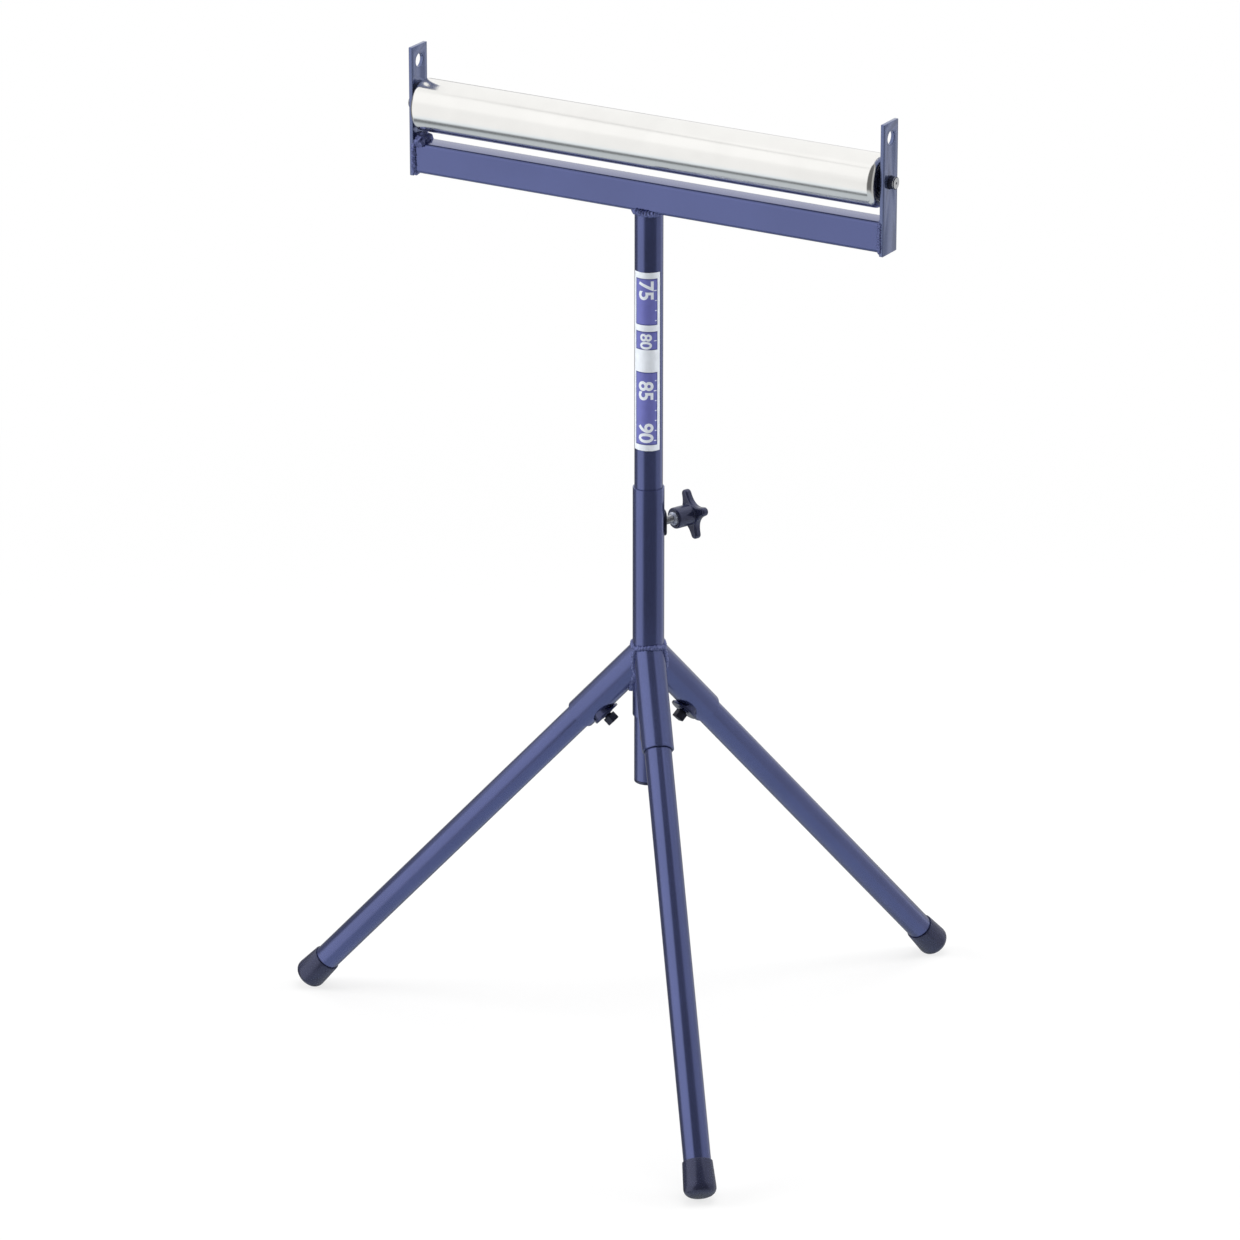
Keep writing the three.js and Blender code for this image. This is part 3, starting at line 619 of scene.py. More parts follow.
def material(finish):
    """The material of a finish, made on its first use."""
    name = f"stand_{finish}"
    if name in bpy.data.materials:
        return bpy.data.materials[name]
    made = bpy.data.materials.new(name)
    made.use_nodes = True
    tree = made.node_tree
    shader = tree.nodes["Principled BSDF"]
    place = add_node(tree, "ShaderNodeTexCoord").outputs["Object"]
    make, tint = FINISHES[finish]
    sockets = {}
    make(tree, sockets, place, getattr(settings("finishes"), tint))
    for socket, value in sockets.items():
        if isinstance(value, bpy.types.NodeSocket):
            tree.links.new(value, shader.inputs[socket])
        else:
            shader.inputs[socket].default_value = value
    return made


def roller_frame(sign=1):
    """Carries a piece from Z onto the roller's axis, +Z end to the right for 1 and to the left for -1."""
    return Matrix.Translation((0, 0, ROLLER_MIDDLE.z)) @ Matrix.Rotation(sign * math.pi / 2, 4, "Y")


def leg_frame(name):
    """Local Z runs down the leg from the mast's axis, and local X points out of its underside."""
    along = Vector(JOINTS[f"leg_{name}_pull"]["axis"]).normalized()
    under = Vector(JOINTS[f"leg_screw_{name}_turn"]["axis"]).normalized()
    screw = Vector(JOINTS[f"leg_screw_{name}_turn"]["pos_m"])
    meeting = screw - along * screw_station(name)
    turn = Matrix((under, along.cross(under), along)).transposed().to_4x4()
    return Matrix.Translation(meeting) @ turn


def screw_station(name):
    """Where a leg's clamp screw crosses the leg's axis, from the mast's axis."""
    along = Vector(JOINTS[f"leg_{name}_pull"]["axis"]).normalized()
    return Vector(JOINTS[f"leg_screw_{name}_turn"]["pos_m"]).xy.length / along.xy.length


def clamp_frame():
    """Local Z points out of the post along the clamp's stud, and local X down."""
    out = Vector(JOINTS["knob_turn"]["axis"]).normalized()
    down = Vector((0, 0, -1))
    turn = Matrix((down, out.cross(down), out)).transposed().to_4x4()
    return Matrix.Translation(JOINTS["knob_turn"]["pos_m"]) @ turn


def make_roller():
    """Roller tube with its ends rolled inwards."""
    sizes = settings("roller")
    radius = sizes.diameter / 2
    half = sizes.width / 2
    bore = radius - sizes.wall
    lip = radius - sizes.shoulder - sizes.lip
    back = half - sizes.wall
    inner_round = sizes.shoulder - sizes.wall
    inner_break, outer_break = 0.4 * MM, 0.5 * MM
    shell = turned(
        [
            (bore, -back, inner_round),
            (lip, -back, inner_break),
            (lip, -half, outer_break),
            (radius, -half, sizes.shoulder),
            (radius, half, sizes.shoulder),
            (lip, half, outer_break),
            (lip, back, inner_break),
            (bore, back, inner_round),
        ],
        BIG_ROUND,
    )
    add_piece(moved(shell, roller_frame()), "roller_shell", "zinc_steel", "roller", ["roller_tube"])


def make_axle():
    """Axle bar, with a thin bright skin where its ends were sawn and centred."""
    chamfer = settings("roller").axle_chamfer
    half = AXLE_EXTENT.x / 2
    radius = AXLE_EXTENT.z / 2
    corners = [(0, -half, 0), (radius, -half, chamfer), (radius, half, chamfer), (0, half, 0)]
    bar = turned(corners, PART_ROUND, closed=False)
    add_piece(moved(bar, roller_frame()), "axle_bar", "black_steel", "axle", ["roller_axle"])
    skin = 0.05 * MM
    centre_hole = 1.2 * MM
    hole_round, face_round = 0.2 * MM, 0.3 * MM
    face = [
        (0, half - centre_hole, 0),
        (centre_hole, half + skin, hole_round),
        (radius - chamfer, half + skin, face_round),
        (radius + skin, half - chamfer, face_round),
        (radius + skin, half - 1.5 * chamfer, 0),
    ]
    for side, sign in SIDES.items():
        sawn_face = moved(turned(face, SMALL_ROUND, closed=False), roller_frame(sign))
        add_piece(sawn_face, f"sawn_axle_face_{side}", "bright_steel", "axle")


def make_roller_ends():
    """Ribbed dust seals in the roller's ends, and the collars between its bearings and the ears."""
    sizes = settings("roller")
    rib_foot, rib_crest = 0.9 * MM, 0.5 * MM
    foot_round, crest_round, rim_round = 0.2 * MM, 0.15 * MM, 0.3 * MM
    seal_clearance = 0.6 * MM
    collar_edge = 0.6 * MM
    for side, sign in SIDES.items():
        seal_middle, seal_extent = node_sizes(f"dust_seal_{side}")
        bush_middle, bush_extent = node_sizes(f"spacer_bush_{side}")
        face = abs(seal_middle.x) + seal_extent.x / 2
        inner = bush_extent.z / 2 + seal_clearance
        outer = seal_extent.z / 2
        rim = [(outer, face - seal_extent.x, 0), (outer, face, rim_round)]
        ring_pitch = (outer - inner) / (sizes.seal_ribs + 1)
        for i in range(sizes.seal_ribs):
            middle = outer - (i + 1) * ring_pitch
            rim += [
                (middle + rib_foot, face, foot_round),
                (middle + rib_crest, face + sizes.rib_height, crest_round),
                (middle - rib_crest, face + sizes.rib_height, crest_round),
                (middle - rib_foot, face, foot_round),
            ]
        rim += [(inner, face, rim_round), (inner, face - seal_extent.x, 0)]
        seal = moved(turned(rim, TUBE_ROUND), roller_frame(sign))
        add_piece(seal, f"ribbed_seal_{side}", "black_plastic", "roller", [f"dust_seal_{side}"])
        low = abs(bush_middle.x) - bush_extent.x / 2
        high = abs(bush_middle.x) + bush_extent.x / 2
        axle_bore = AXLE_EXTENT.z / 2 + GAP
        collar = tube(axle_bore, bush_extent.z / 2, low, high, collar_edge, PART_ROUND)
        moved(collar, roller_frame(sign))
        add_piece(collar, f"collar_{side}", "black_plastic", "head", [f"spacer_bush_{side}"])


def rectangle(width, height, corner):
    """Corners of a rounded rectangle."""
    signs = ((1, 1), (-1, 1), (-1, -1), (1, -1))
    return [(x * width / 2, y * height / 2, corner) for x, y in signs]


def make_beam():
    """Cross beam: a rectangular tube with round corners."""
    sizes = settings("head")
    half = BEAM_EXTENT.x / 2
    skin = fillet(rectangle(BEAM_EXTENT.y, BEAM_EXTENT.z, sizes.beam_corner))
    wall = 2 * sizes.beam_wall
    bore_corner = sizes.beam_corner - sizes.beam_wall
    bore = fillet(rectangle(BEAM_EXTENT.y - wall, BEAM_EXTENT.z - wall, bore_corner))
    runs = ((skin, -half), (skin, half), (bore, half), (bore, -half))
    rings = [[(x, y, BEAM_MIDDLE.z + z) for y, z in outline] for outline, x in runs]
    add_piece(lofted(rings, closed=True), "beam_tube", "blue_paint", "head", ["cross_beam"])


def make_ears():
    """The two drilled ears."""
    sizes = settings("head")
    axle_height = ROLLER_MIDDLE.z - EAR_MIDDLE.z
    guide_height = EAR_EXTENT.z / 2 - sizes.guide_drop
    corner = 0.6 * MM
    outlines = [
        fillet(rectangle(EAR_EXTENT.y, EAR_EXTENT.z, corner)),
        circle(sizes.axle_hole / 2, SMALL_ROUND, (0, axle_height)),
        circle(sizes.guide_hole / 2, SMALL_ROUND, (0, guide_height)),
    ]
    stand_up = Matrix(((0, 0, 1, 0), (1, 0, 0, 0), (0, 1, 0, 0), (0, 0, 0, 1)))
    for side, sign in SIDES.items():
        start = sign * EAR_MIDDLE.x - EAR_EXTENT.x / 2
        place = Matrix.Translation((start, 0, EAR_MIDDLE.z)) @ stand_up
        ear = moved(plate(outlines, EAR_EXTENT.x, sizes.ear_edge), place)
        # The ears take the paler enamel, whose extra brightness is painted light.
        add_piece(ear, f"drilled_ear_{side}", "ear_paint", "head", [f"ear_{side}"])


def spaced_loop(points, spacing):
    """A closed path through points, with a point about every so many metres."""
    path = []
    for i, here in enumerate(points):
        there = points[(i + 1) % len(points)]
        steps = max(1, round((there - here).length / spacing))
        path += [here.lerp(there, step / steps) for step in range(steps)]
    return path


def make_head_welds():
    """Beads round the beam's ends, piled up on its top at the left, and round the top of the mast."""
    sizes = settings("head")
    ripple = 2.6 * MM
    outline = fillet(rectangle(BEAM_EXTENT.y, BEAM_EXTENT.z, sizes.beam_corner))
    top = BEAM_MIDDLE.z + BEAM_EXTENT.z / 2
    weld_root = BEAM_EXTENT.x / 2 + EAR_EXTENT.x / 2
    pile_reach = 1.5 * MM
    pile_lift = 0.25
    thin_share = 0.4

    def piled(point):
        height_share = max(0, 1 - (top - point.z) / pile_reach)
        front_share = 0.5 - point.y / BEAM_EXTENT.y
        pile = (thin_share + (1 - thin_share) * front_share) * (sizes.weld_pile - sizes.ear_weld)
        return sizes.ear_weld + height_share * pile

    def plain(point):
        return sizes.ear_weld

    for side, sign in SIDES.items():
        size_at = piled if side == "left" else plain
        corners = [Vector((0, point.x, BEAM_MIDDLE.z + point.y)) for point in outline]
        path = spaced_loop(corners, WELD_SPACING)
        for point in path:
            growth = size_at(point) - sizes.ear_weld
            inner = BEAM_EXTENT.y / 2 - growth
            point.x = sign * (BEAM_EXTENT.x / 2 - growth)
            point.y = min(max(point.y, -inner), inner)
            point.z += pile_lift * growth
        bead = weld_bead(path, Vector((1, 0, 0)), size_at, ripple, seed=3 * sign)
        for vert in bead.verts:
            vert.co.x = sign * min(sign * vert.co.x, weld_root)
        # The bead takes the paler weld enamel, whose extra brightness is painted light.
        add_piece(bead, f"ear_weld_{side}", "weld_paint", "head")
    radius = settings("mast").mast_diameter / 2
    ring_points = 160
    seam = BEAM_MIDDLE.z - BEAM_EXTENT.z / 2 - GAP
    ring = [Vector((x, y, seam)) for x, y in circle(radius, ring_points)]
    bead = weld_bead(ring, Vector((0, 0, 1)), lambda point: sizes.mast_weld, ripple, seed=5)
    # This bead also takes the paler weld enamel, which is painted light.
    add_piece(bead, "mast_weld", "weld_paint", "head")


def make_mast():
    """Mast and the plug in its lower end."""
    sizes = settings("mast")
    radius = sizes.mast_diameter / 2
    bore = radius - sizes.mast_wall
    low = MAST_MIDDLE.z - MAST_EXTENT.z / 2
    high = MAST_MIDDLE.z + MAST_EXTENT.z / 2
    mast = tube(bore, radius, low, high, sizes.edge, TUBE_ROUND)
    add_piece(mast, "mast_pipe", "blue_paint", "head", ["mast_tube"])
    plug_middle, plug_extent = node_sizes("mast_end_plug")
    foot = plug_middle.z - plug_extent.z / 2
    top = plug_middle.z + plug_extent.z / 2
    seat = low - GAP
    stem = bore - GAP
    dish_radius, face_radius = 0.6 * radius, 0.75 * radius
    dish_round, rim_round, seat_round = 2 * MM, 1 * MM, 0.3 * MM
    plug = turned(
        [
            (0, foot + sizes.plug_dish, 0),
            (dish_radius, foot + sizes.plug_dish, dish_round),
            (face_radius, foot, dish_round),
            (radius, foot, rim_round),
            (radius, seat, seat_round),
            (stem, seat, 0),
            (stem, top, rim_round),
            (0, top, 0),
        ],
        TUBE_ROUND,
        closed=False,
    )
    add_piece(plug, "mast_plug", "black_plastic", "mast_slide", ["mast_end_plug"])


LABEL_PANELS = [(low * MM, high * MM) for low, high in ((628.2, 701.2), (723.6, 741.9), (748.2, 794.4))]
SCALE_CENTIMETRES = range(74, 92)


def label_patch(low, high, middle, span, radius):
    """A film on the mast between two heights, centred on a direction."""
    finest = math.radians(3)
    steps = max(2, math.ceil(span / finest))
    bm = bmesh.new()
    rows = []
    for z in (low, high):
        turns = (middle + span * (i / steps - 0.5) for i in range(steps + 1))
        rows.append([bm.verts.new((*polar(radius, turn), z)) for turn in turns])
    for i in range(steps):
        bm.faces.new((rows[0][i], rows[0][i + 1], rows[1][i + 1], rows[1][i]))
    return bm


def digits(text, height):
    """A flat mesh of a number that reads downwards, centred on the origin, and its length."""
    digit_share = 0.7
    boldness = 0.035
    curve = bpy.data.curves.new("scale_number", "FONT")
    curve.body = text
    curve.size = height / digit_share
    curve.offset = boldness * height
    bm = worked_out(placed("scale_number", curve))
    across = [vert.co.x for vert in bm.verts]
    up = [vert.co.y for vert in bm.verts]
    centre = Vector(((min(across) + max(across)) / 2, (min(up) + max(up)) / 2, 0))
    moved(bm, Matrix.Rotation(-math.pi / 2, 4, "Z") @ Matrix.Translation(-centre))
    return bm, max(across) - min(across)


def wrapped(bm, z, facing, radius):
    """A flat mesh laid on the mast, with its x run round it and its y up it."""
    reach = max(abs(vert.co.x) for vert in bm.verts)
    cut_step = 0.6 * MM
    cuts = int(reach / cut_step)
    sliced(bm, [i * cut_step for i in range(-cuts, cuts + 1)], (1, 0, 0))
    for vert in bm.verts:
        turn = facing + vert.co.x / radius
        vert.co = (*polar(radius, turn), z + vert.co.y)
    return bm


def make_label():
    """Height scale on the mast: each number is the roller's height in centimetres at the post's top."""
    sizes = settings("label")
    surface = settings("mast").mast_diameter / 2
    film, line, ink, print_on = (surface + layer * sizes.film for layer in (1, 2, 3, 4))
    sheet = label_patch(sizes.low, sizes.high, sizes.facing, sizes.span, film)
    add_piece(sheet, "scale_film", "label_white", "head")
    frames = [label_patch(*edges, sizes.facing, sizes.panel_span, line) for edges in LABEL_PANELS]
    add_piece(joined(*frames), "scale_frames", "label_navy", "head")
    inner_span = sizes.panel_span - 2 * sizes.frame / ink
    panels = [
        label_patch(low + sizes.frame, high - sizes.frame, sizes.facing, inner_span, ink)
        for low, high in LABEL_PANELS
    ]
    add_piece(joined(*panels), "scale_panels", "label_blue", "head")
    roller_top = ROLLER_MIDDLE.z + settings("roller").diameter / 2
    post_top = POST_MIDDLE.z + POST_EXTENT.z / 2
    tick_end = sizes.facing + inner_span / 2
    margin = 2.2 * MM
    long_tick, short_tick = 0.12 * sizes.panel_span, 0.07 * sizes.panel_span
    digit_room = 0.6
    marks = []
    for low, high in LABEL_PANELS:
        for centimetres in SCALE_CENTIMETRES:
            z = post_top + roller_top - centimetres * 10 * MM
            if not low + margin < z < high - margin:
                continue
            is_main = centimetres % 5 == 0
            reach = long_tick if is_main else short_tick
            tick = (z - sizes.tick / 2, z + sizes.tick / 2)
            marks.append(label_patch(*tick, tick_end - reach / 2, reach, print_on))
            if is_main:
                number, run = digits(str(centimetres), min(sizes.digit, digit_room * (high - low)))
                room = run / 2 + margin
                middle = min(max(z, low + room), high - room)
                marks.append(wrapped(number, middle, sizes.facing, print_on))
    add_piece(joined(*marks), "scale_marks", "label_white", "head")


def make_post():
    """Outer post."""
    sizes = settings("mast")
    low = POST_MIDDLE.z - POST_EXTENT.z / 2
    high = POST_MIDDLE.z + POST_EXTENT.z / 2
    radius = sizes.post_diameter / 2
    post = tube(radius - sizes.post_wall, radius, low, high, sizes.edge, TUBE_ROUND)
    add_piece(post, "post_pipe", "blue_paint", "base", ["outer_post"])


def cope_start(turn, radius, post_radius, tilt):
    """Where a line along a socket's wall leaves the post, or the plane halfway to the next socket."""
    across = radius * math.sin(turn)
    on_post = math.sqrt(max(post_radius**2 - across**2, 0))
    on_neighbour = abs(across) / math.tan(math.pi / len(LEG_NAMES))
    return (max(on_post, on_neighbour) + radius * math.cos(turn) * math.cos(tilt)) / math.sin(tilt)


def make_sockets():
    """Sockets coped round the post, with the beads that join them to it."""
    sizes = settings("legs")
    post_radius = settings("mast").post_diameter / 2
    weld_root = post_radius - settings("mast").post_wall / 2
    outer = sizes.socket_diameter / 2
    bore = sizes.socket_bore / 2
    edge = 0.5 * MM
    ripple = 2.8 * MM
    heel_focus = 8
    turns = ring_angles(SOCKET_ROUND)
    for i, name in enumerate(LEG_NAMES):
        place = leg_frame(name)
        along = place.to_3x3() @ Vector((0, 0, 1))
        tilt = along.angle(Vector((0, 0, -1)))

        def ring(radius, station):
            return [place @ Vector((*polar(radius, turn), station)) for turn in turns]

        def cope(radius):
            stations = [cope_start(turn, radius, post_radius, tilt) for turn in turns]
            return [place @ Vector((*polar(radius, turn), z)) for turn, z in zip(turns, stations)]

        rings = [
            cope(bore),
            cope(outer),
            ring(outer, sizes.socket_end - edge),
            ring(outer - edge, sizes.socket_end),
            ring(bore, sizes.socket_end),
        ]
        body = lofted(rings, closed=True)
        add_piece(body, f"coped_socket_{name}", "blue_paint", "base", [f"leg_socket_{name}"])
        seam = spaced_loop(cope(outer), WELD_SPACING)
        heights = [point.z for point in seam]
        low, high = min(heights), max(heights)

        def size_at(point):
            share = ((high - point.z) / (high - low)) ** heel_focus
            return sizes.weld_size + share * (sizes.weld_heel - sizes.weld_size)

        bead = weld_bead(seam, along, size_at, ripple, seed=11 + i)
        for vert in bead.verts:
            vert.co.xy *= max(1, weld_root / vert.co.xy.length)
        # The bead takes the paler weld enamel, whose extra brightness is painted light.
        add_piece(bead, f"socket_weld_{name}", "weld_paint", "base")


def make_legs():
    """Leg tubes and foot caps."""
    sizes = settings("legs")
    radius = sizes.leg_diameter / 2
    foot = sizes.reach
    rim = foot - sizes.cap_length
    cap_radius = sizes.cap_rim + sizes.cap_flare
    cap_end = foot + sizes.cap_bulge
    seat = radius + FIT
    leg_end = foot - sizes.cap_floor
    leg_edge = 0.4 * MM
    mouth_round, rim_round = 0.3 * MM, 0.6 * MM
    for name in LEG_NAMES:
        leg = tube(radius - sizes.leg_wall, radius, sizes.leg_start, leg_end, leg_edge, TUBE_ROUND)
        moved(leg, leg_frame(name))
        add_piece(leg, f"leg_pipe_{name}", "blue_paint", f"leg_{name}", [f"leg_tube_{name}"])
        cap = turned(
            [
                (0, leg_end, 0),
                (seat, leg_end, 0),
                (seat, rim, mouth_round),
                (sizes.cap_rim, rim, rim_round),
                (cap_radius, cap_end, sizes.cap_edge),
                (0, cap_end, 0),
            ],
            TUBE_ROUND,
            closed=False,
        )
        moved(cap, leg_frame(name))
        for vert in cap.verts:
            vert.co.z = max(vert.co.z, 0)
        add_piece(cap, f"rubber_foot_{name}", "black_rubber", f"leg_{name}", [f"foot_cap_{name}"])


def saddle(tube_radius, bore):
    """A round plate bent over a tube that runs along Z, with its hole along X."""
    sizes = settings("clamps")
    rim = sizes.saddle_diameter / 2
    thick = sizes.saddle_thickness
    under_round, over_round, hole_round = 0.3 * MM, 0.8 * MM, 0.4 * MM
    corners = [(bore, 0, 0), (rim, 0, under_round), (rim, thick, over_round), (bore, thick, hole_round)]
    bm = turned(corners, TUBE_ROUND)
    strips = 8
    sliced(bm, [sign * rim * i / strips for i in range(1, strips) for sign in (1, -1)], (0, 1, 0))
    bend = tube_radius + thick / 2
    for vert in bm.verts:
        turn = vert.co.y / bend
        vert.co = (*polar(tube_radius + vert.co.z, turn), vert.co.x)
    bmesh.ops.recalc_face_normals(bm, faces=bm.faces)
    return bm


def threaded_rod(radius, low, high, pitch):
    """A rod along Z with a real helical thread."""
    depth = 0.55 * pitch
    flank = 2.6
    steps_per_turn = 8
    steps = int((high - low) / pitch * steps_per_turn)
    rings = []
    for step in range(steps + 1):
        z = low + (high - low) * step / steps
        taper = min(1, (z - low) / pitch, (high - z) / pitch)
        ring = []
        for turn in ring_angles(THREAD_ROUND):
            phase = (z / pitch - turn / TURN) % 1
            crest = min(1, flank * abs(phase - 0.5))
            reach = radius - depth + depth * crest * taper
            ring.append((*polar(reach, turn), z))
        rings.append(ring)
    return lofted(rings)


def arm_outline():
    """Outline of the knob's arms: round tips joined by deep valleys."""
    sizes = settings("clamps")
    tip = sizes.arm_width / 2
    reach = sizes.knob_diameter / 2 - tip
    valley_depth = 8 * MM
    tip_steps, valley_steps = 8, 12
    pitch = TURN / sizes.arm_count
    outline = []
    for i in range(sizes.arm_count):
        direction = i * pitch
        middle = polar(reach, direction)
        for step in range(tip_steps + 1):
            outline.append(middle + polar(tip, direction - math.pi / 2 + math.pi * step / tip_steps))
        start = outline[-1]
        after = direction + pitch
        control = polar(valley_depth, direction + pitch / 2)
        end = polar(reach, after) + polar(tip, after - math.pi / 2)
        for step in range(1, valley_steps):
            t = step / valley_steps
            outline.append((1 - t) ** 2 * start + 2 * t * (1 - t) * control + t**2 * end)
    return outline


def moulded(bm, grid, passes):
    """The bodies of a mesh run together, with soft inner corners as a mould leaves them."""
    holder = placed("rough", as_mesh(bm, "rough"))
    remesh = holder.modifiers.new("run_together", "REMESH")
    remesh.mode = "VOXEL"
    remesh.voxel_size = grid
    soften = holder.modifiers.new("soften", "SMOOTH")
    soften.factor = 0.5
    soften.iterations = passes
    return worked_out(holder)


def make_mast_clamp():
    """Saddle nut on the post, threaded stud, metal insert and four-armed knob."""
    sizes = settings("clamps")
    post_radius = settings("mast").post_diameter / 2
    stud_radius = sizes.stud_diameter / 2
    place = clamp_frame()
    along_stud = Matrix.Rotation(-math.pi / 2, 4, "Y")
    nut = moved(saddle(post_radius, stud_radius + FIT), place @ along_stud)
    add_piece(nut, "post_saddle", "black_steel", "base", ["post_nut"])
    stud_low = settings("mast").mast_diameter / 2 + GAP
    insert_depth = 16 * MM
    insert_top = sizes.knob_start + insert_depth
    stud = threaded_rod(stud_radius, stud_low, insert_top, sizes.thread_pitch)
    add_piece(moved(stud, place), "threaded_stud", "bright_steel", "clamp", ["clamp_stud"])
    insert_radius = sizes.insert_diameter / 2
    insert_stand, nose_height, nose_wall = 1.2 * MM, 1.6 * MM, 0.8 * MM
    nose_round, shoulder_round, end_round = 0.3 * MM, 0.8 * MM, 0.4 * MM
    insert_low = sizes.knob_start - insert_stand
    nose = insert_low - nose_height
    insert_bore = stud_radius + FIT
    insert = turned(
        [
            (insert_bore, nose, 0),
            (insert_bore + nose_wall, nose, nose_round),
            (insert_radius, insert_low, shoulder_round),
            (insert_radius, insert_top, end_round),
            (insert_bore, insert_top, 0),
        ],
        PART_ROUND,
    )
    add_piece(moved(insert, place), "hub_insert", "pale_zinc", "knob", ["knob_insert"])
    hub_radius = sizes.hub_diameter / 2
    arms_low = sizes.knob_start + sizes.hub_length
    hub_recess = 1.5 * MM
    hub_top = arms_low + sizes.arm_thickness - hub_recess
    hole_clearance = 0.2 * MM
    hole = insert_radius + hole_clearance
    hole_round, hub_round, top_round, arm_round = 0.3 * MM, 1.4 * MM, 2 * MM, 1.8 * MM
    hub = turned(
        [
            (hole, sizes.knob_start, hole_round),
            (hub_radius, sizes.knob_start, hub_round),
            (hub_radius, hub_top, top_round),
            (0, hub_top, 0),
            (0, insert_top + GAP, 0),
            (hole, insert_top + GAP, 0),
        ],
        HUB_ROUND,
    )
    arms = plate([arm_outline()], sizes.arm_thickness, arm_round)
    moved(arms, Matrix.Translation((0, 0, arms_low)) @ Matrix.Rotation(sizes.knob_turn, 4, "Z"))
    knob = moulded(joined(hub, arms), grid=0.45 * MM, passes=4)
    add_piece(moved(knob, place), "moulded_knob", "black_plastic", "knob", ["star_knob"])


def coped_ring(radius, height_at):
    """A ring round Z whose height follows how far it is across the socket."""
    return [(x, y, height_at(y)) for x, y in circle(radius, TUBE_ROUND)]


def make_leg_clamps():
    """Flat flanged nuts and square-headed screws under the sockets."""
    sizes = settings("clamps")
    socket_radius = settings("legs").socket_diameter / 2
    screw_radius = sizes.screw_diameter / 2
    flange_clearance = 0.2 * MM
    flange_low = socket_radius + flange_clearance
    flange_top = socket_radius + GAP + sizes.flange_thickness
    head_low = flange_top + sizes.screw_neck
    rim = sizes.flange_diameter / 2
    bore = screw_radius + FIT
    collar = 0.45 * rim
    collar_slope = 0.6 * MM
    ledge = flange_top - 0.5 * MM
    under_round, rim_round, ledge_round, top_round = 0.5 * MM, 0.9 * MM, 0.4 * MM, 0.3 * MM
    flange = [
        (bore, flange_low, 0),
        (rim, flange_low, under_round),
        (rim, ledge, rim_round),
        (collar + collar_slope, ledge, ledge_round),
        (collar, flange_top, top_round),
        (bore, flange_top, top_round),
    ]
    boss_radius = rim - 1.5 * MM
    boss_taper = 1 * MM
    tip = settings("legs").leg_diameter / 2 + GAP
    head_corner, head_edge = 0.8 * MM, 0.7 * MM
    head_overlap = 1 * MM
    square = fillet(rectangle(sizes.screw_head, sizes.screw_head, head_corner))

    def under_socket(across):
        return math.sqrt(socket_radius**2 - across**2)

    along_screw = Matrix.Rotation(math.pi / 2, 4, "Y")
    for name in LEG_NAMES:
        place = leg_frame(name) @ Matrix.Translation((0, 0, screw_station(name)))
        nut = moved(turned(flange, TUBE_ROUND), place @ along_screw)
        # The nut and its weld take the darker enamel, which is painted shade.
        add_piece(nut, f"flanged_nut_{name}", "nut_paint", "base", [f"socket_nut_{name}"])
        boss = [
            coped_ring(bore, lambda across: flange_low),
            coped_ring(boss_radius, lambda across: flange_low),
            coped_ring(boss_radius - boss_taper, under_socket),
            coped_ring(bore, under_socket),
        ]
        fillet_weld = moved(lofted(boss, closed=True), place @ along_screw)
        add_piece(fillet_weld, f"nut_weld_{name}", "nut_paint", "base")
        head = plate([square], sizes.screw_head_height, head_edge)
        moved(head, Matrix.Translation((0, 0, head_low)) @ Matrix.Rotation(sizes.screw_turn, 4, "Z"))
        shank = threaded_rod(screw_radius, tip, head_low + head_overlap, sizes.thread_pitch)
        screw = moved(joined(shank, head), place @ along_screw)
        body = f"leg_screw_{name}"
        add_piece(screw, f"square_screw_{name}", "black_steel", body, [f"leg_clamp_screw_{name}"])


def make_spring():
    """Coil spring on the axle, between a washer and a clip. It rides on the head and keeps its length when
    the axle is pushed in.
    """
    sizes = settings("roller")
    low, high = (Vector(corner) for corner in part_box("axle_spring"))
    wire = sizes.spring_wire / 2
    coil = (high.z - low.z) / 2 - wire
    start, end = low.x + 2 * wire, high.x - 2 * wire
    steps_per_turn = 24
    wire_turns = ring_angles(WIRE_ROUND)
    count = sizes.spring_turns * steps_per_turn
    along = Vector((1, 0, 0))
    rings = []
    for i in range(count + 1):
        outward = Vector((0, *polar(1, TURN * i / steps_per_turn)))
        centre = ROLLER_MIDDLE + coil * outward
        centre.x = start + (end - start) * i / count
        rings.append([centre + wire * (math.cos(a) * outward + math.sin(a) * along) for a in wire_turns])
    spring = add_piece(lofted(rings), "coil_spring", "bright_steel", "head", ["axle_spring"])
    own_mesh(spring)


def finish_inner_parts():
    """Gives the bearings and clips inside the roller their finishes."""
    slots = {entry["node"]: entry["material_slot"] for entry in frame["record"]["subparts"]}
    for name, node in frame["nodes"].items():
        if not node.hide_render:
            node.data.materials.clear()
            node.data.materials.append(material(slots[name]))


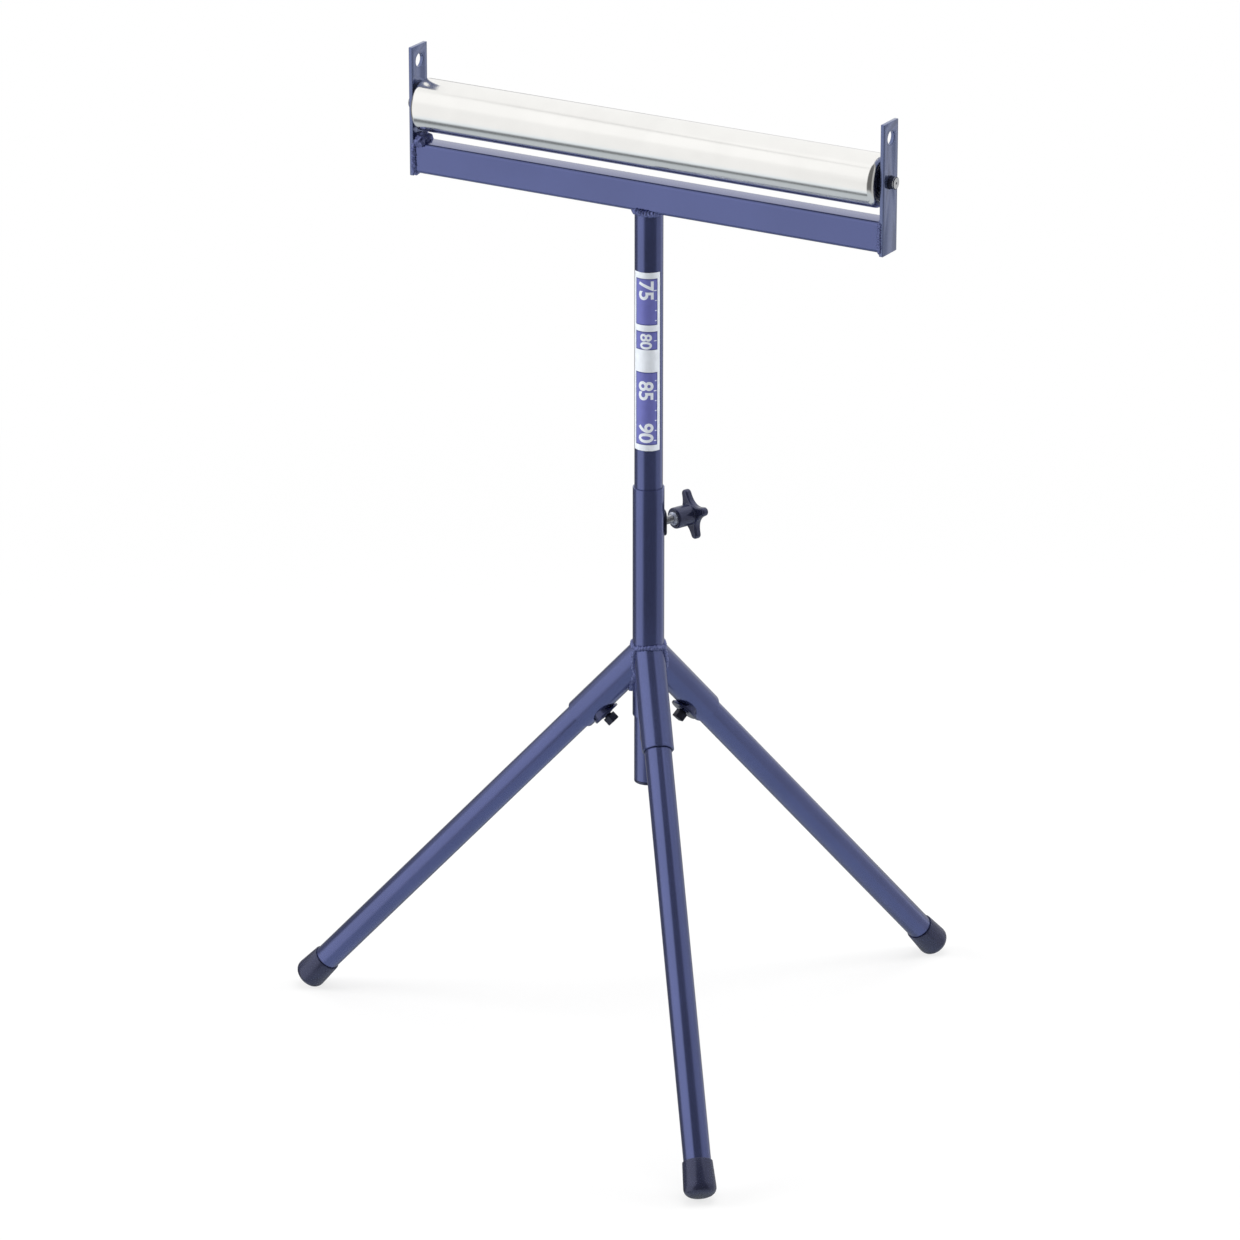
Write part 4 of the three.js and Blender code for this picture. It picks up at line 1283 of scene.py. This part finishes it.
def make_floor():
    """Pale floor that stays white to the camera and keeps a soft shadow."""
    stage = settings("stage")
    half = stage.floor_width / 2
    bm = bmesh.new()
    bmesh.ops.create_grid(bm, x_segments=8, y_segments=8, size=half)
    floor = placed("floor", as_mesh(bm, "floor"))
    floor.visible_glossy = False
    surface = bpy.data.materials.new("stand_floor")
    surface.use_nodes = True
    tree = surface.node_tree
    shader = tree.nodes["Principled BSDF"]
    place = add_node(tree, "ShaderNodeTexCoord").outputs["Object"]
    cloud = grain(tree, place, 3)
    tree.links.new(shaded(tree, cloud, settings("finishes").floor, 0.99, 1.0), shader.inputs["Base Color"])
    shader.inputs["Roughness"].default_value = 0.9
    shader.inputs["Specular IOR Level"].default_value = 0.0
    glow = add_node(tree, "ShaderNodeEmission", {"Color": (1, 1, 1, 1), "Strength": 1.0})
    seen = add_node(tree, "ShaderNodeLightPath").outputs["Is Camera Ray"]
    away = add_node(tree, "ShaderNodeVectorMath", {0: place}, operation="LENGTH").outputs["Value"]
    shadow_edge, white_edge, white_share = 0.5, 2.0, 0.75
    reach = {"Value": away, "From Min": shadow_edge, "From Max": white_edge, "To Min": white_share}
    whiter = add_node(tree, "ShaderNodeMapRange", reach, interpolation_type="SMOOTHSTEP").outputs[0]
    share = add_node(tree, "ShaderNodeMath", {0: seen, 1: whiter}, operation="MULTIPLY").outputs[0]
    mix = add_node(tree, "ShaderNodeMixShader", {0: share, 1: shader.outputs[0], 2: glow.outputs[0]})
    tree.links.new(mix.outputs[0], tree.nodes["Material Output"].inputs["Surface"])
    floor.data.materials.append(surface)


# Edges in degrees and brightness of what the glossy finishes mirror: the horizon between the grey floor
# and the white walls, the dim floor behind the stand, and the floor near its foot, which is tinted.
HORIZON, FLOOR_LEVEL, WALL_LEVEL = (-2, 8), 0.6, 1.0
BACK_EDGE, BACK_TOP, BACK_LEVEL = (135, 155), (-3, -12), 0.3
FOOT_EDGE, FOOT_TINT = (-26, -42), (0.9, 0.97, 1.03, 1)
# Boxes and dark cards: the azimuths where each begins, is full from, is full to and ends, the same for
# elevation, and its brightness. Later ones cover earlier ones.
STUDIO_AREAS = (
    ((-104, -92, -52, -38, -48, -36, 89, 90), 0.96),
    ((-104, -92, -52, -38, 8, 24, 89, 90), 1.06),
    ((-168, -150, -112, -98, -45, -30, 5, 18), 0.17),
    ((52, 72, 100, 112, -34, -24, 35, 60), 0.48),
    ((52, 72, 112, 125, 2, 18, 35, 60), 0.6),
    ((104, 114, 132, 146, -45, -30, 15, 35), 0.48),
    ((113, 118, 125, 130, -34, -28, -6, 2), 0.85),
    ((-42, -30, 52, 72, -34, -24, 68, 80), 0.15),
    ((-130, -100, -60, -40, -54, -50, -45, -41), 0.18),
    ((-115, -95, -75, -55, 52.5, 54, 55.5, 57), 0.65),
)
# Power's property, place and two sides of each soft box, in metres.
SOFT_BOXES = {
    "soft_box_left": ("key_power", (-2.6, -1.6, 1.9), (1.6, 2.2)),
    "soft_box_right": ("fill_power", (2.4, 1.8, 1.7), (1.4, 2.0)),
    "soft_box_top": ("top_power", (0.2, 0.3, 3.2), (2.4, 2.4)),
}
LAMP_AIM = Vector((0, 0, 0.5))


def make_surroundings():
    """Studio that the glossy finishes mirror: white boxes, a dim front round the camera and a grey floor.

    Directions are in degrees: azimuth from the camera's side round to the right, and elevation.
    """
    stage = settings("stage")
    world = bpy.data.worlds.new("studio")
    bpy.context.scene.world = world
    world.use_nodes = True
    tree = world.node_tree
    background = tree.nodes["Background"]
    direction = add_node(tree, "ShaderNodeTexCoord").outputs["Generated"]
    side = stage.camera_azimuth

    def maths(operation, first, second=0.0):
        return add_node(tree, "ShaderNodeMath", {0: first, 1: second}, operation=operation).outputs[0]

    def dot(*vector):
        inputs = {0: direction, 1: vector}
        return add_node(tree, "ShaderNodeVectorMath", inputs, operation="DOT_PRODUCT").outputs["Value"]

    def smooth(value, start, end):
        inputs = {"Value": value, "From Min": math.radians(start), "From Max": math.radians(end)}
        return add_node(tree, "ShaderNodeMapRange", inputs, interpolation_type="SMOOTHSTEP").outputs[0]

    def window(value, opens, open_from, open_to, closes):
        return maths("MULTIPLY", smooth(value, opens, open_from), smooth(value, closes, open_to))

    def mixed(share, below, above):
        return add_node(tree, "ShaderNodeMix", {"Factor": share, "A": below, "B": above}).outputs[0]

    aside = dot(math.cos(side), math.sin(side), 0)
    ahead = dot(math.sin(side), -math.cos(side), 0)
    azimuth = maths("ARCTAN2", aside, ahead)
    elevation = maths("ARCSINE", dot(0, 0, 1))
    mirrored_level = mixed(smooth(elevation, *HORIZON), FLOOR_LEVEL, WALL_LEVEL)
    behind = smooth(maths("ABSOLUTE", azimuth), *BACK_EDGE)
    low_behind = maths("MULTIPLY", behind, smooth(elevation, *BACK_TOP))
    mirrored_level = mixed(low_behind, mirrored_level, BACK_LEVEL)
    for area, level in STUDIO_AREAS:
        inside = maths("MULTIPLY", window(azimuth, *area[:4]), window(elevation, *area[4:]))
        mirrored_level = mixed(inside, mirrored_level, level)
    path = add_node(tree, "ShaderNodeLightPath").outputs
    mirrored = maths("MAXIMUM", path["Is Glossy Ray"], path["Is Transmission Ray"])
    lighting = mixed(mirrored, stage.sky, mirrored_level)
    low_down = maths("MULTIPLY", mirrored, smooth(elevation, *FOOT_EDGE))
    tints = {"Fac": low_down, "Color1": (1, 1, 1, 1), "Color2": FOOT_TINT}
    tree.links.new(add_node(tree, "ShaderNodeMixRGB", tints).outputs[0], background.inputs["Color"])
    tree.links.new(mixed(path["Is Camera Ray"], lighting, 1.0), background.inputs["Strength"])


def add_lamp(name, power, place, size):
    """A soft box aimed at the middle of the stand."""
    lamp = bpy.data.lights.new(name, "AREA")
    lamp.energy = power
    lamp.shape = "RECTANGLE"
    lamp.size, lamp.size_y = size
    holder = placed(name, lamp)
    holder.location = place
    aim = LAMP_AIM - Vector(place)
    holder.rotation_euler = aim.to_track_quat("-Z", "Y").to_euler()
    holder.visible_glossy = False
    holder.visible_camera = False


def make_camera():
    """Camera at the photograph's place."""
    stage = settings("stage")
    camera = bpy.data.cameras.new("camera")
    camera.lens = stage.camera_lens
    camera.sensor_width = 36
    camera.clip_end = 200
    holder = placed("camera", camera)
    holder.location = stage.camera_place
    holder.rotation_euler = (math.pi / 2 - stage.camera_elevation, 0, stage.camera_azimuth)
    bpy.context.scene.camera = holder


class STAND_OT_roller(bpy.types.Operator):
    """Builds the roller, its seals, its axle and its spring"""

    bl_idname = "stand.roller"
    bl_label = "Roller"

    def execute(self, context):
        make_roller()
        make_axle()
        make_roller_ends()
        make_spring()
        return {"FINISHED"}


class STAND_OT_head(bpy.types.Operator):
    """Builds the cross beam, the ears and their welds"""

    bl_idname = "stand.head"
    bl_label = "Head"

    def execute(self, context):
        make_beam()
        make_ears()
        make_head_welds()
        return {"FINISHED"}


class STAND_OT_mast(bpy.types.Operator):
    """Builds the mast, its plug and the outer post"""

    bl_idname = "stand.mast"
    bl_label = "Mast and post"

    def execute(self, context):
        make_mast()
        make_post()
        return {"FINISHED"}


class STAND_OT_label(bpy.types.Operator):
    """Builds the height scale on the mast"""

    bl_idname = "stand.label"
    bl_label = "Height scale"

    def execute(self, context):
        make_label()
        return {"FINISHED"}


class STAND_OT_legs(bpy.types.Operator):
    """Builds the sockets, the legs and the foot caps"""

    bl_idname = "stand.legs"
    bl_label = "Legs"

    def execute(self, context):
        make_sockets()
        make_legs()
        return {"FINISHED"}


class STAND_OT_clamps(bpy.types.Operator):
    """Builds the mast's clamp knob and the leg clamp screws"""

    bl_idname = "stand.clamps"
    bl_label = "Clamps"

    def execute(self, context):
        make_mast_clamp()
        make_leg_clamps()
        return {"FINISHED"}


class STAND_OT_inner_parts(bpy.types.Operator):
    """Gives the parts inside the roller their finishes"""

    bl_idname = "stand.inner_parts"
    bl_label = "Inner parts"

    def execute(self, context):
        finish_inner_parts()
        return {"FINISHED"}


class STAND_OT_stage(bpy.types.Operator):
    """Builds the floor, the light and the camera"""

    bl_idname = "stand.stage"
    bl_label = "Stage"

    def execute(self, context):
        stage = settings("stage")
        bpy.context.scene.view_settings.view_transform = "Standard"
        make_floor()
        make_surroundings()
        for name, (power, place, size) in SOFT_BOXES.items():
            add_lamp(name, getattr(stage, power), place, size)
        make_camera()
        return {"FINISHED"}


GROUPS = {
    "roller": RollerSizes,
    "head": HeadSizes,
    "mast": MastSizes,
    "label": LabelSizes,
    "legs": LegSizes,
    "clamps": ClampSizes,
    "finishes": Finishes,
    "stage": StageSettings,
}
OPERATORS = (
    STAND_OT_roller,
    STAND_OT_head,
    STAND_OT_mast,
    STAND_OT_label,
    STAND_OT_legs,
    STAND_OT_clamps,
    STAND_OT_inner_parts,
    STAND_OT_stage,
)


class STAND_PT_sidebar(bpy.types.Panel):
    """Lists the steps that build the stand"""

    bl_idname = "STAND_PT_sidebar"
    bl_label = "Roller stand"
    bl_space_type = "VIEW_3D"
    bl_region_type = "UI"
    bl_category = "Roller stand"

    def draw(self, context):
        for operator in OPERATORS:
            self.layout.operator(operator.bl_idname)


CLASSES = (*GROUPS.values(), *OPERATORS, STAND_PT_sidebar)


def register():
    """Adds the stand's classes and settings."""
    for cls in CLASSES:
        bpy.utils.register_class(cls)
    for name, group in GROUPS.items():
        setattr(bpy.types.Scene, f"stand_{name}", PointerProperty(type=group))


def unregister():
    """Takes them away again."""
    for name in GROUPS:
        delattr(bpy.types.Scene, f"stand_{name}")
    for cls in reversed(CLASSES):
        bpy.utils.unregister_class(cls)


def main():
    """Builds the stand."""
    register()
    bpy.ops.stand.roller()
    bpy.ops.stand.head()
    bpy.ops.stand.mast()
    bpy.ops.stand.label()
    bpy.ops.stand.legs()
    bpy.ops.stand.clamps()
    bpy.ops.stand.inner_parts()
    bpy.ops.stand.stage()


if __name__ == "__main__":
    main()
